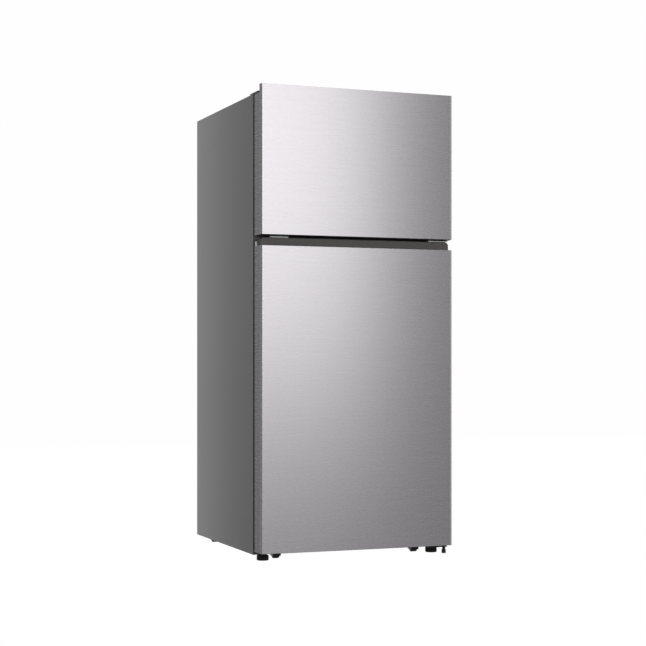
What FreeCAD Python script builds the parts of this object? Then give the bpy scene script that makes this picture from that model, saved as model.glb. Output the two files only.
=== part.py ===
import FreeCAD, Part
import math
import os
import re
import Sketcher

# A free-standing refrigerator with the freezer compartment on top.
#
# Frame: origin in the middle of the footprint, on the floor. +Z is up, the doors face -Y and
# +X is on the right of someone who faces them. Both doors hinge on the right. Millimetres.
#
# Every size is a cell of the sheet Dims. The sheet Lines works out from them the levels and
# planes that several pieces share. A piece's limits are expressions on those two sheets.

DOCUMENT = FreeCAD.newDocument("Refrigerator")

SIZES = {
    # cabinet
    "cabinet_wide": 744.0,
    "cabinet_deep": 694.0,
    "cabinet_tall": 1637.0,
    "floor_gap": 22.0,
    "sheet": 1.2,
    "flange_wide": 45.0,
    "sill_tall": 48.0,
    "liner_wall": 2.0,
    "rear_wall": 62.0,
    "mullion_tall": 78.0,
    "mullion_drop": 5.0,
    "machine_room": 26.0,
    "machine_head": 40.8,
    "step_wall": 45.0,
    "cover_inset": 12.0,
    "fit_gap": 0.3,
    # doors
    "door_body": 69.0,
    "door_gap": 16.0,
    "freezer_door_tall": 528.0,
    "door_split": 39.0,
    "door_lift": 12.0,
    "lip_rise": 25.0,
    "lip_thick": 17.0,
    "lip_drop": 5.0,
    "edge_round": 9.0,
    "door_liner": 2.5,
    "cap_tall": 22.0,
    "cap_rise": 29.0,
    "cap_setback": 22.0,
    "cap_inset": 8.0,
    "cap_corner": 11.0,
    "trough_deep": 32.0,
    "trough_wall": 3.0,
    "trough_end": 40.0,
    "underside_drop": 3.0,
    "gasket_in": 24.0,
    "gasket_wide": 20.0,
    "gasket_clear": 0.4,
    "gasket_end": 12.0,
    "dyke_in": 62.0,
    "dyke_wall": 14.0,
    "dyke_deep": 48.0,
    "dyke_end": 14.0,
    # door bins
    "bin_gap": 1.5,
    "bin_reach": 108.0,
    "bin_wall": 2.5,
    "bin_tall": 105.0,
    "lug_tall": 8.0,
    "lug_reach": 12.0,
    "flap_wall": 3.0,
    "dairy_tall": 120.0,
    "dairy_deep": 74.0,
    "dairy_clear": 6.0,
    "bin_lift": 70.0,
    "bottle_bin_tall": 140.0,
    "freezer_bin_lift": 45.0,
    "freezer_bin_pitch": 190.0,
    "freezer_bin_tall": 85.0,
    # hinges
    "hinge_in": 22.0,
    "hinge_back": 30.0,
    "pin_round": 8.0,
    "pin_clear": 0.05,
    "pin_grip": 14.0,
    "hinge_plate": 4.0,
    "hinge_boss": 8.5,
    "hinge_arm": 40.0,
    "hinge_long": 80.0,
    "leaf_near": 12.0,
    "leaf_far": 88.0,
    "cover_tall": 7.0,
    "cover_wall": 2.0,
    "cover_back": 74.0,
    "screw_head": 5.0,
    "screw_rise": 2.5,
    # feet and rollers
    "foot_in": 41.0,
    "foot_back": 15.0,
    "foot_round": 43.0,
    "foot_thick": 19.0,
    "stud_round": 9.5,
    "boss_round": 18.0,
    "roller_round": 30.0,
    "roller_wide": 24.0,
    "front_roller_in": 100.0,
    "front_roller_back": 45.0,
    "rear_roller_in": 46.0,
    "rear_roller_back": 90.0,
    "front_roller_lift": 0.6,
    "axle_round": 6.0,
    "fork_wall": 2.0,
    "side_play": 1.0,
    # shelves and crispers
    "shelf_thick": 16.0,
    "shelf_front": 128.0,
    "shelf_rim": 20.0,
    "glass_thick": 4.0,
    "rib_tall": 8.0,
    "rib_reach": 14.0,
    "crisper_clear": 19.0,
    "crisper_front": 135.0,
    "crisper_wall": 2.5,
    "crisper_lip": 7.0,
    "lip_plate": 3.0,
    "runner_wall": 2.0,
    "runner_drop": 10.0,
    "crisper_side": 36.0,
    "crisper_travel": 245.0,
    "pull_in": 60.0,
    "pull_reach": 16.0,
    "pull_drop": 26.0,
    "freezer_shelf_up": 200.0,
    "wire_round": 5.0,
    # cold and machine parts
    "evaporator_space": 72.0,
    "fan_round": 108.0,
    "fan_gap": 5.0,
    "hub_round": 34.0,
    "shaft_round": 5.0,
    "motor_round": 46.0,
    "motor_long": 26.0,
    "blade_thick": 2.0,
    "cover_plate": 3.0,
    "vent_pitch": 30.0,
    "vent_wide": 18.0,
    "vent_tall": 12.0,
    "bridge_back": 30.0,
    "bridge_tall": 18.0,
    "coil_side": 75.0,
    "coil_up": 50.0,
    "coil_pitch": 38.0,
    "coil_near": 18.0,
    "coil_far": 44.0,
    "coil_tube": 8.0,
    "fin_thick": 1.5,
    "compressor_in": 180.0,
    "compressor_round": 150.0,
    "compressor_tall": 150.0,
    "grommet_tall": 8.0,
    "coil_start": 60.0,
    "coil_long": 190.0,
    "condenser_tube": 6.0,
    "slot_edge": 57.0,
    "slot_wide": 9.0,
    "slot_tall": 56.0,
    "gland_in": 42.0,
    "gland_bore": 4.5,
    "gland_sleeve": 8.0,
    "knob_round": 42.0,
    "knob_left": 100.0,
    "housing_half": 170.0,
    "housing_tall": 44.0,
    "pan_tall": 52.0,
}

# How many of each repeated detail.
WIRES = 23
COLD_VENTS = 15
COIL_ROWS = 5
COIL_FINS = 13
CONDENSER_ROWS = 4
CONDENSER_FINS = 13
REAR_SLOTS = 21

# Shared levels (up), planes (back) and sides, each from the cells above and from one another.
LEVELS = {
    "face_right": "cabinet_wide / 2",
    "front": "-(door_body + door_gap + cabinet_deep) / 2",
    "door_back": "front + door_body",
    "cab_face": "door_back + door_gap",
    "cab_back": "cab_face + cabinet_deep",
    "cab_low": "floor_gap",
    "cab_high": "floor_gap + cabinet_tall",
    "lip_top": "cab_high + lip_rise",
    "freezer_back_top": "cab_high - lip_drop",
    "freezer_low": "lip_top - freezer_door_tall",
    "freezer_back_low": "freezer_low - underside_drop",
    "steel_top": "freezer_low - door_split",
    "cap_top": "steel_top + cap_rise",
    "fridge_low": "cab_low + door_lift",
    "slot_middle": "(cap_top + freezer_back_low) / 2",
    "mullion_low": "slot_middle - mullion_drop - mullion_tall / 2",
    "mullion_high": "slot_middle - mullion_drop + mullion_tall / 2",
    "open_right": "face_right - flange_wide",
    "cavity_right": "open_right - liner_wall",
    "fridge_floor": "cab_low + sill_tall + liner_wall",
    "fridge_ceiling": "mullion_low - liner_wall",
    "freezer_floor": "mullion_high + liner_wall",
    "freezer_ceiling": "cab_high - flange_wide - liner_wall",
    "cavity_back": "cab_back - rear_wall",
    "cover_front": "cab_back - cover_inset - cover_wall",
    "machine_front": "cover_front - compressor_round - machine_room",
    "machine_top": "cab_low + sheet + grommet_tall + compressor_tall + machine_head",
    "step_front": "machine_front - step_wall",
    "step_top": "machine_top + step_wall",
    "gasket_right": "face_right - gasket_in",
    "gasket_face": "cab_face - gasket_clear",
    "dyke_right": "face_right - dyke_in",
    "dyke_reach": "cab_face + dyke_deep",
    "bin_right": "dyke_right - dyke_wall - bin_gap",
    "bin_back": "cab_face + bin_reach",
    "axis_right": "face_right - hinge_in",
    "axis_back": "front + hinge_back",
    "pin_half": "pin_round / 2",
    "pin_hole": "pin_round / 2 + pin_clear",
    "slot_low": "slot_middle - hinge_plate / 2",
    "slot_high": "slot_middle + hinge_plate / 2",
    "foot_right": "face_right - foot_in",
    "foot_place": "cab_face + foot_back",
    "axle_high": "roller_round / 2",
    "rail_back": "cab_face + crisper_front",
    "crisper_end": "step_front - 5",
    "crisper_out": "cavity_right - crisper_side",
    "evaporator_front": "cavity_back - evaporator_space",
    "shelf_back": "evaporator_front - 8",
    "machine_middle": "(machine_front + cover_front) / 2",
    "crisper_top": "step_top + crisper_clear",
    "shelf_pitch": "(fridge_ceiling - housing_tall - crisper_top) / 3",
    "low_shelf": "crisper_top + shelf_pitch",
    "high_shelf": "crisper_top + 2 * shelf_pitch",
    "dairy_low": "fridge_ceiling - dyke_end - dyke_wall - dairy_tall - dairy_clear",
    "fridge_bin_first": "fridge_floor + bin_lift",
    "fridge_bin_pitch": "(dairy_low - fridge_bin_first) / 3",
    "freezer_fan_up": "freezer_ceiling - fan_round / 2 - 30",
    "knob_place": "cab_face + 235",
    "cool_fan_up": "cab_low + 100",
    "gland_up": "cab_low + 180",
    "gland_right": "face_right - gland_in",
    "slot_pitch": "(2 * face_right - 2 * slot_edge - 30) / 20",
    "coil_half": "cavity_right - coil_side",
    "lamp_right": "housing_half - 20",
}


def fill_sheets():
    """Write the driving sizes as plain numbers and the shared lines as formulas."""
    dims = DOCUMENT.addObject("Spreadsheet::Sheet", "Dims")
    for row, (alias, value) in enumerate(SIZES.items(), start=1):
        dims.set(f"A{row}", alias)
        dims.set(f"B{row}", str(value))
        dims.setAlias(f"B{row}", alias)
    lines = DOCUMENT.addObject("Spreadsheet::Sheet", "Lines")
    for row, (alias, formula) in enumerate(LEVELS.items(), start=1):
        lines.set(f"A{row}", alias)
        lines.set(f"B{row}", "=" + bound(formula))
        lines.setAlias(f"B{row}", alias)
    DOCUMENT.recompute()


def bound(text):
    """Point each size's name in an expression at the sheet that holds it."""

    def with_sheet(match):
        word = match.group()
        if word in SIZES:
            return "Dims." + word
        if word in LEVELS:
            return "Lines." + word
        return word

    return re.sub(r"[a-z_]+", with_sheet, str(text))


def value_of(text):
    """The number that an expression on the sheets gives."""
    number = DOCUMENT.getObject("Dims").evalExpression(bound(text))
    return float(getattr(number, "Value", number))


def place(item, x, y, z):
    """Bind an object's place to the sheets."""
    item.setExpression(".Placement.Base.x", bound(x))
    item.setExpression(".Placement.Base.y", bound(y))
    item.setExpression(".Placement.Base.z", bound(z))


def box(x, y, z, name="Block"):
    """A block between two limits along each axis; each limit is an expression."""
    block = DOCUMENT.addObject("Part::Box", name)
    for side, (low, high) in (("Length", x), ("Width", y), ("Height", z)):
        block.setExpression(side, bound(f"({high}) - ({low})"))
    place(block, x[0], y[0], z[0])
    return block


def wide(right):
    """Limits along X that are the same distance to either side of the middle."""
    return (f"-({right})", right)


def on_side(side, near, far):
    """Limits along X for a piece on the left (-1) or right (1), from its distances to the middle."""
    return (near, far) if side > 0 else (f"-({far})", f"-({near})")


TURNS = {
    "x": FreeCAD.Rotation(FreeCAD.Vector(0, 1, 0), 90),
    "y": FreeCAD.Rotation(FreeCAD.Vector(1, 0, 0), -90),
    "z": FreeCAD.Rotation(),
}


def rod(axis, start, length, radius, name="Rod"):
    """A cylinder along +X, +Y or +Z from its start point."""
    cylinder = DOCUMENT.addObject("Part::Cylinder", name)
    cylinder.setExpression("Radius", bound(radius))
    cylinder.setExpression("Height", bound(length))
    cylinder.Placement = FreeCAD.Placement(FreeCAD.Vector(), TURNS[axis])
    place(cylinder, *start)
    return cylinder


def fuse(pieces, name="Joined"):
    """One solid from touching pieces."""
    joined = DOCUMENT.addObject("Part::MultiFuse", name)
    joined.Shapes = pieces
    joined.Refine = True
    return joined


def group(pieces, name="Group"):
    """Separate solids kept together, as for a set of screws."""
    together = DOCUMENT.addObject("Part::Compound", name)
    together.Links = pieces
    return together


def cut(base, tools, name="Shaped"):
    """The base with every tool taken out of it."""
    tool = tools[0] if len(tools) == 1 else fuse(tools, "Tools")
    shaped = DOCUMENT.addObject("Part::Cut", name)
    shaped.Base = base
    shaped.Tool = tool
    shaped.Refine = True
    return shaped


def rounded(base, radius, chosen, name="Rounded"):
    """Round the straight edges that the test `chosen` picks by their middle and direction."""
    DOCUMENT.recompute()
    size = value_of(radius)
    edges = []
    for number, edge in enumerate(base.Shape.Edges, start=1):
        if not isinstance(edge.Curve, (Part.Line, Part.LineSegment)):
            continue
        along = edge.tangentAt(edge.FirstParameter)
        if chosen(edge.CenterOfMass, along):
            edges.append((number, size, size))
    fillet = DOCUMENT.addObject("Part::Fillet", name)
    fillet.Base = base
    fillet.Edges = edges
    return fillet


def front_corners(plane):
    """Picks the upright edges that lie in the plane at this distance back."""
    depth = value_of(plane)
    return lambda middle, along: abs(along.z) > 0.99 and abs(middle.y - depth) < 0.01


NODES = []


def node(name, piece):
    """Register a finished sub-part under its own name."""
    piece.Label = name
    NODES.append(piece)
    return piece


def profile_body(name, role, corners):
    """A body with one closed sketch; each corner's two coordinates are expressions."""
    body = DOCUMENT.addObject("PartDesign::Body", name + "_body")
    plane = [item for item in body.Origin.OriginFeatures if item.Role == role][0]
    sketch = body.newObject("Sketcher::SketchObject", name + "_profile")
    sketch.AttachmentSupport = [(plane, "")]
    sketch.MapMode = "FlatFace"
    points = [FreeCAD.Vector(value_of(across), value_of(up), 0) for across, up in corners]
    count = len(points)
    for index in range(count):
        sketch.addGeometry(Part.LineSegment(points[index], points[(index + 1) % count]), False)
    for index in range(count):
        sketch.addConstraint(Sketcher.Constraint("Coincident", index, 2, (index + 1) % count, 1))
    for index, (across, up) in enumerate(corners):
        point = points[index]
        for kind, text, size in (("DistanceX", across, point.x), ("DistanceY", up, point.y)):
            mark = sketch.addConstraint(Sketcher.Constraint(kind, -1, 1, index, 1, size))
            label = f"{kind}_{index}"
            sketch.renameConstraint(mark, label)
            sketch.setExpression("Constraints." + label, bound(text))
    return body, sketch


def revolved(name, corners, start, axis="z"):
    """A body of revolution about `axis` from (radius, height) corners."""
    body, sketch = profile_body(name, "XZ_Plane", corners)
    turned = body.newObject("PartDesign::Revolution", name + "_turned")
    turned.Profile = sketch
    turned.ReferenceAxis = (sketch, ["V_Axis"])
    turned.Angle = 360.0
    body.Placement = FreeCAD.Placement(FreeCAD.Vector(), TURNS[axis])
    place(body, *start)
    return body


def side_profile(name, corners, x):
    """A body of one section, drawn in (back, up) corners, that runs between two limits along X."""
    body, sketch = profile_body(name, "YZ_Plane", corners)
    pad = body.newObject("PartDesign::Pad", name + "_pad")
    pad.Profile = sketch
    pad.setExpression("Length", bound(f"({x[1]}) - ({x[0]})"))
    place(body, x[0], "0", "0")
    return body


# --- cabinet -------------------------------------------------------------------------------


def fork_space(side, in_size, back):
    """The pocket above a roller, as wide as its fork."""
    middle = f"{side} * (face_right - {in_size})"
    half = "(roller_wide / 2 + side_play + fork_wall)"
    return box(
        (f"{middle} - {half}", f"{middle} + {half}"),
        (f"{back} - roller_round / 2 - side_play", f"{back} + roller_round / 2 + side_play"),
        ("cab_low - 1", "cab_low + roller_round / 2"),
    )


ROLLERS = {
    "front_left": (-1, "front_roller_in", "(cab_face + front_roller_back)", "front_roller_lift"),
    "front_right": (1, "front_roller_in", "(cab_face + front_roller_back)", "front_roller_lift"),
    "rear_left": (-1, "rear_roller_in", "(cab_back - rear_roller_back)", "0"),
    "rear_right": (1, "rear_roller_in", "(cab_back - rear_roller_back)", "0"),
}


def foot_boss(side):
    """The threaded boss that a levelling foot screws up into."""
    start = (f"{side} * foot_right", "foot_place", "foot_thick + 3")
    return rod("z", start, "cab_low + 22 - foot_thick - 3", "boss_round / 2")


def make_shell():
    """The steel wrapper: sides, top and a flange round the opening, closed by a back panel."""
    outer = box(wide("face_right"), ("cab_face", "cab_back"), ("cab_low", "cab_high"))
    inner = box(
        wide("face_right - sheet"),
        ("cab_face + sheet", "cab_back + 1"),
        ("cab_low - 1", "cab_high - sheet"),
    )
    opening = box(
        wide("open_right"),
        ("cab_face - 1", "cab_face + sheet + 1"),
        ("cab_low + sill_tall", "cab_high - flange_wide"),
    )
    node("cabinet_shell", cut(outer, [inner, opening]))
    node(
        "back_panel",
        box(
            wide("face_right - sheet"),
            ("cab_back - sheet", "cab_back"),
            ("machine_top + sheet", "cab_high - sheet"),
        ),
    )
    node(
        "mullion_bar",
        box(wide("open_right"), ("cab_face", "cab_face + sheet"), ("mullion_low", "mullion_high")),
    )


def make_base():
    """The pressed bottom sheet: floor, front bosses for the feet, and the step over the machine."""
    floor = box(
        wide("face_right - sheet"), ("cab_face + sheet", "cab_back"), ("cab_low", "cab_low + sheet")
    )
    wall = box(
        wide("face_right - sheet"),
        ("machine_front", "machine_front + sheet"),
        ("cab_low", "machine_top + sheet"),
    )
    roof = box(
        wide("face_right - sheet"),
        ("machine_front", "cab_back"),
        ("machine_top", "machine_top + sheet"),
    )
    bosses = [foot_boss(-1), foot_boss(1)]
    holes = [fork_space(*ROLLERS[corner][:3]) for corner in ROLLERS]
    for side in (-1, 1):
        start = (f"{side} * foot_right", "foot_place", "foot_thick")
        holes.append(rod("z", start, "cab_low + 20 - foot_thick", "stud_round / 2 + pin_clear"))
    node("base_frame", cut(fuse([floor, wall, roof] + bosses), holes))


def step_block(extra):
    """The part of the fridge compartment that the machine space takes away."""
    return box(
        wide("face_right"),
        (f"step_front + liner_wall - {extra}", "cab_back"),
        ("cab_low", f"step_top - liner_wall + {extra}"),
    )


def rib(side, top, back="cab_face + 110", end="cavity_back"):
    """A moulded ledge on a compartment's side wall; a shelf rests on its top."""
    limits = on_side(side, "cavity_right - rib_reach", "cavity_right + liner_wall / 2")
    return box(limits, (back, end), (f"{top} - rib_tall", top))


def freezer_outside():
    """The whole block that the freezer compartment and its liner take out of the foam."""
    return box(
        wide("open_right"),
        ("cab_face", "cavity_back + liner_wall"),
        ("mullion_high", "freezer_ceiling + liner_wall"),
    )


def fridge_outside():
    """The stepped block that the fridge compartment and its liner take out of the foam."""
    whole = box(
        wide("open_right"),
        ("cab_face", "cavity_back + liner_wall"),
        ("fridge_floor - liner_wall", "fridge_ceiling + liner_wall"),
    )
    return cut(whole, [step_block("0")])


def make_liners():
    """Both moulded compartments and the foam that fills the walls round them."""
    freezer_in = box(
        wide("cavity_right"), ("cab_face - 1", "cavity_back"), ("freezer_floor", "freezer_ceiling")
    )
    freezer_ribs = [rib(side, "freezer_floor + freezer_shelf_up", end="shelf_back") for side in (-1, 1)]
    node("freezer_liner", fuse([cut(freezer_outside(), [freezer_in])] + freezer_ribs))

    fridge_in = cut(
        box(wide("cavity_right"), ("cab_face - 1", "cavity_back"), ("fridge_floor", "fridge_ceiling")),
        [step_block("liner_wall")],
    )
    tops = ("crisper_top", "low_shelf", "high_shelf")
    fridge_ribs = [rib(side, top) for top in tops for side in (-1, 1)]
    node("fridge_liner", fuse([cut(fridge_outside(), [fridge_in])] + fridge_ribs))

    block = box(
        wide("face_right - sheet"),
        ("cab_face + sheet", "cab_back - sheet"),
        ("cab_low + sheet", "cab_high - sheet"),
    )
    machine = box(wide("face_right"), ("machine_front", "cab_back"), ("cab_low", "machine_top + sheet"))
    pockets = [fork_space(*ROLLERS[corner][:3]) for corner in ("front_left", "front_right")]
    pockets += [foot_boss(-1), foot_boss(1)]
    node("cabinet_foam", cut(block, [freezer_outside(), fridge_outside(), machine] + pockets))


# --- doors ---------------------------------------------------------------------------------


def door_shell(low, high):
    """A bent steel skin: the front and both sides, with rounded upright edges."""
    outer = rounded(
        box(wide("face_right"), ("front", "door_back"), (low, high)), "edge_round", front_corners("front")
    )
    inner = rounded(
        box(wide("face_right - sheet"), ("front + sheet", "door_back + 1"), (f"{low} - 1", f"{high} + 1")),
        "edge_round - sheet",
        front_corners("front + sheet"),
    )
    return cut(outer, [inner])


def core_block(low, high):
    """The inside of a door between its skin and its liner."""
    return rounded(
        box(wide("face_right - sheet"), ("front + sheet", "door_back - door_liner"), (low, high)),
        "edge_round - sheet",
        front_corners("front + sheet"),
    )


def pin_bore(low, length):
    """The running bore for a hinge pin."""
    return rod("z", ("axis_right", "axis_back", low), length, "pin_hole")


def door_gasket(low, high):
    """The magnetic seal, a ring on the back of a door."""
    outer = box(wide("gasket_right"), ("door_back", "gasket_face"), (low, high))
    inner = box(
        wide("gasket_right - gasket_wide"),
        ("door_back - 1", "gasket_face + 1"),
        (f"{low} + gasket_wide", f"{high} - gasket_wide"),
    )
    return cut(outer, [inner])


def door_inner(low, high, dyke_low, dyke_high, shelves):
    """The door liner: a panel with four walls that stand on it, and lugs under each bin."""
    panel = box(wide("face_right - sheet"), ("door_back - door_liner", "door_back"), (low, high))
    pieces = [panel]
    for side in (-1, 1):
        limits = on_side(side, "dyke_right - dyke_wall", "dyke_right")
        pieces.append(box(limits, ("door_back", "dyke_reach"), (dyke_low, dyke_high)))
        for level in shelves:
            limits = on_side(side, "dyke_right - dyke_wall - lug_reach", "dyke_right - dyke_wall")
            pieces.append(box(limits, ("door_back", "dyke_reach"), (f"{level} - lug_tall", level)))
    for start, end in ((dyke_low, f"{dyke_low} + dyke_wall"), (f"{dyke_high} - dyke_wall", dyke_high)):
        pieces.append(box(wide("dyke_right - dyke_wall"), ("door_back", "dyke_reach"), (start, end)))
    return group(pieces)


def door_bin(low, tall):
    """An open-topped bin that hangs between the door liner's walls."""
    outer = box(wide("bin_right"), ("door_back + bin_gap", "bin_back"), (low, f"{low} + {tall}"))
    inner = box(
        wide("bin_right - bin_wall"),
        ("door_back + bin_gap + bin_wall", "bin_back - bin_wall"),
        (f"{low} + bin_wall", f"{low} + {tall} + 1"),
    )
    return cut(outer, [inner])


def make_freezer_door():
    """The upper door, with a front lip that rises past the cabinet top."""
    skin = cut(
        door_shell("freezer_low", "lip_top"),
        [
            box(
                wide("face_right + 1"),
                ("front + lip_thick", "door_back + 1"),
                ("freezer_back_top", "lip_top + 1"),
            )
        ],
    )
    node("freezer_door_skin", skin)

    core_low = "freezer_low + cap_tall"
    core_high = "freezer_back_top - cap_tall"
    node("freezer_door_foam", core_block(core_low, core_high))

    cap = cut(
        core_block(core_high, "lip_top - sheet"),
        [
            box(wide("face_right"), ("front + lip_thick", "door_back"), ("freezer_back_top", "lip_top")),
            pin_bore("freezer_back_top - pin_grip - 2", "pin_grip + 3"),
        ],
    )
    node("freezer_door_top_cap", cap)

    slope = side_profile(
        "slope",
        [
            ("front", "freezer_low"),
            ("door_back - door_liner", "freezer_back_low"),
            ("door_back - door_liner", core_low),
            ("front", core_low),
        ],
        wide("face_right"),
    )
    under = DOCUMENT.addObject("Part::Common", "Underside")
    under.Base = core_block("freezer_back_low", core_low)
    under.Tool = slope
    node("freezer_door_bottom_cap", cut(under, [pin_bore("freezer_back_low - 1", "pin_grip + 3")]))
    node(
        "freezer_door_stop",
        box(
            ("-face_right + 48", "-face_right + 117"),
            ("front + 40", "door_back - 4"),
            ("slot_middle - 1.5", "freezer_back_low"),
        ),
    )

    bins = ("freezer_floor + freezer_bin_lift", "freezer_floor + freezer_bin_lift + freezer_bin_pitch")
    low = "freezer_back_low"
    high = "freezer_back_top"
    node(
        "freezer_door_liner",
        door_inner(low, high, "freezer_floor + dyke_end", "freezer_ceiling - dyke_end", bins),
    )
    node("freezer_door_gasket", door_gasket(f"{low} + gasket_end", f"{high} - gasket_end - 7"))
    node("freezer_bin_low", door_bin(bins[0], "bin_tall"))
    node("freezer_bin_high", door_bin(bins[1], "freezer_bin_tall"))


def make_fridge_door():
    """The lower door: its dark top cap stands back from the steel and holds the finger trough."""
    node("fridge_door_skin", door_shell("fridge_low", "steel_top"))
    core_low = "fridge_low + cap_tall"
    core_high = "steel_top - trough_deep - trough_wall"
    node("fridge_door_foam", core_block(core_low, core_high))
    bottom = cut(core_block("fridge_low", core_low), [pin_bore("fridge_low - 1", "pin_grip + 3")])
    node("fridge_door_bottom_cap", bottom)

    crown = rounded(
        box(
            wide("face_right - cap_inset"),
            ("front + cap_setback", "door_back - door_liner"),
            ("steel_top", "cap_top"),
        ),
        "cap_corner",
        lambda middle, along: abs(along.y) > 0.99 and abs(middle.z - value_of("cap_top")) < 0.01,
    )
    trough = box(
        wide("face_right - trough_end"),
        ("front + sheet + trough_wall", "front + cap_setback"),
        ("steel_top - trough_deep", "steel_top + 1"),
    )
    bore = pin_bore("cap_top - pin_grip - 2", "pin_grip + 3")
    cap = cut(fuse([core_block(core_high, "steel_top"), crown]), [trough, bore])
    node("fridge_door_top_cap", cap)

    bins = (
        "fridge_bin_first",
        "fridge_bin_first + fridge_bin_pitch",
        "fridge_bin_first + 2 * fridge_bin_pitch",
    )
    node(
        "fridge_door_liner",
        door_inner(
            "fridge_low",
            "cap_top - cap_corner",
            "fridge_floor + dyke_end",
            "fridge_ceiling - dyke_end",
            bins + ("dairy_low",),
        ),
    )
    node("fridge_door_gasket", door_gasket("fridge_low + gasket_end + 4", "cap_top - gasket_end - 5"))
    node("fridge_bin_low", door_bin(bins[0], "bottle_bin_tall"))
    node("fridge_bin_middle", door_bin(bins[1], "bin_tall"))
    node("fridge_bin_high", door_bin(bins[2], "bin_tall"))
    make_dairy()


def make_dairy():
    """A closed shelf for butter on the fridge door, with a lift-up flap on two pins."""
    low = "dairy_low"
    high = f"({low} + dairy_tall)"
    reach = "(door_back + bin_gap + dairy_deep)"
    ends = ("-bin_right", "-8")
    outer = box(ends, ("door_back + bin_gap", reach), (low, high))
    inner = box(
        (f"{ends[0]} + bin_wall", f"{ends[1]} - bin_wall"),
        ("door_back + bin_gap + bin_wall", f"{reach} + 1"),
        (f"{low} + bin_wall", f"{high} + 1"),
    )
    pivot = (f"{ends[0]} - 1", f"{reach} - 7", f"{high} - 7")
    bore = rod("x", pivot, f"{ends[1]} - ({ends[0]}) + 2", "shaft_round / 2 + pin_clear")
    node("dairy_shelf", cut(outer, [inner, bore]))
    leaf = box(
        (f"{ends[0]} + bin_wall + 0.6", f"{ends[1]} - bin_wall - 0.6"),
        (f"{reach} - 7 - flap_wall / 2", f"{reach} - 7 + flap_wall / 2"),
        (f"{low} + bin_wall + 1", f"{high} - 7"),
    )
    spindle = rod(
        "x", (f"{ends[0]} + 0.4", pivot[1], pivot[2]), f"{ends[1]} - ({ends[0]}) - 0.8", "shaft_round / 2"
    )
    grip = box(
        (f"({ends[0]} + {ends[1]}) / 2 - 35", f"({ends[0]} + {ends[1]}) / 2 + 35"),
        (f"{reach} - 7", f"{reach} + 3"),
        (f"{low} + 12", f"{low} + 16"),
    )
    node("dairy_flap", fuse([leaf, spindle, grip]))


# --- hinges --------------------------------------------------------------------------------


def hinge_outline(name, boss, right_gap, tail, z):
    """A hinge plate seen from above: a boss round the pin and an arm back to the cabinet."""
    arm = box(
        ("axis_right - hinge_arm", f"axis_right - {right_gap}"), (f"axis_back - {boss}", tail), z
    )
    disc = rod("z", ("axis_right", "axis_back", z[0]), f"({z[1]}) - ({z[0]})", boss)
    bridge = box(
        ("axis_right - hinge_arm / 2", "axis_right"),
        (f"axis_back - {boss}", f"axis_back + {boss}"),
        z,
    )
    return [arm, disc, bridge]


def make_hinges():
    """Three hinges on the right that carry both doors, and the caps over the top corners."""
    top = ("cab_high", "cab_high + hinge_plate")
    pad = box(("axis_right - hinge_long", "axis_right + 4"), ("cab_face + 2", "cab_face + 66"), top)
    pin_low = "freezer_back_top - pin_grip"
    pin = rod("z", ("axis_right", "axis_back", pin_low), f"cab_high - ({pin_low}) + 1", "pin_half")
    plate = hinge_outline("top", "hinge_boss", "10", "cab_face + 30", top)
    node("top_hinge", fuse(plate + [pad, pin]))
    node("top_hinge_cover", make_hood())

    high = ("cab_high", "cab_high + hinge_plate + cover_tall")
    blank = box(("-face_right + 13", "-face_right + 95"), ("cab_face - 15", "cab_face + cover_back"), high)
    blank = rounded(blank, "4", lambda middle, along: abs(along.z) > 0.99)
    hollow = box(
        ("-face_right + 13 + cover_wall", "-face_right + 95 - cover_wall"),
        ("cab_face - 15 + cover_wall", "cab_face + cover_back - cover_wall"),
        ("cab_high - 1", "cab_high + hinge_plate + cover_tall - cover_wall"),
    )
    node("top_blank_cover", cut(blank, [hollow]))

    across = ("face_right - leaf_far", "face_right - leaf_near")
    reach = ("axis_back - hinge_boss", "cab_face")
    upright = ("cab_face - hinge_plate", "cab_face")
    leaf = box(across, reach, ("slot_low", "slot_high"))
    leg = box(across, upright, ("slot_middle - 14", "slot_middle + 14"))
    pin_low = "cap_top - pin_grip"
    long_pin = "freezer_back_low - cap_top + 2 * pin_grip"
    double_pin = rod("z", ("axis_right", "axis_back", pin_low), long_pin, "pin_half")
    node("middle_hinge", fuse([leaf, leg, double_pin]))

    foot = ("fridge_low - 4 - hinge_plate", "fridge_low - 4")
    shelf = box(across, reach, foot)
    stand = box(across, upright, (foot[0], "fridge_low + 13"))
    post = rod("z", ("axis_right", "axis_back", foot[0]), "pin_grip + 4 + hinge_plate", "pin_half")
    neck = rod("z", ("axis_right", "axis_back", "16"), f"{foot[0]} - 15", "5.5")
    bulb = rod("z", ("axis_right", "axis_back", "3"), "14", "8")
    node("bottom_hinge", fuse([shelf, stand, post, neck, bulb]))
    make_screws()


def make_hood():
    """The cap over the top hinge: the hinge's outline, grown by a wall and hollow below."""
    tail = "cab_face + 30"
    high = ("cab_high", "cab_high + hinge_plate + cover_tall")
    hood = hinge_outline("hood", "(hinge_boss + cover_wall + 0.5)", "9.5", tail, high)
    hood.append(
        box(
            ("axis_right - hinge_long - 3", "axis_right + 7"),
            ("cab_face - 1", "cab_face + cover_back"),
            high,
        )
    )
    room_high = ("cab_high - 1", "cab_high + hinge_plate + cover_tall - cover_wall")
    room = hinge_outline("room", "(hinge_boss + 0.5)", "10", tail, room_high)
    room.append(
        box(
            ("axis_right - hinge_long - 1", "axis_right + 5"),
            ("cab_face + 1", "cab_face + cover_back - cover_wall"),
            room_high,
        )
    )
    return cut(fuse(hood), [fuse(room)])


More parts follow.
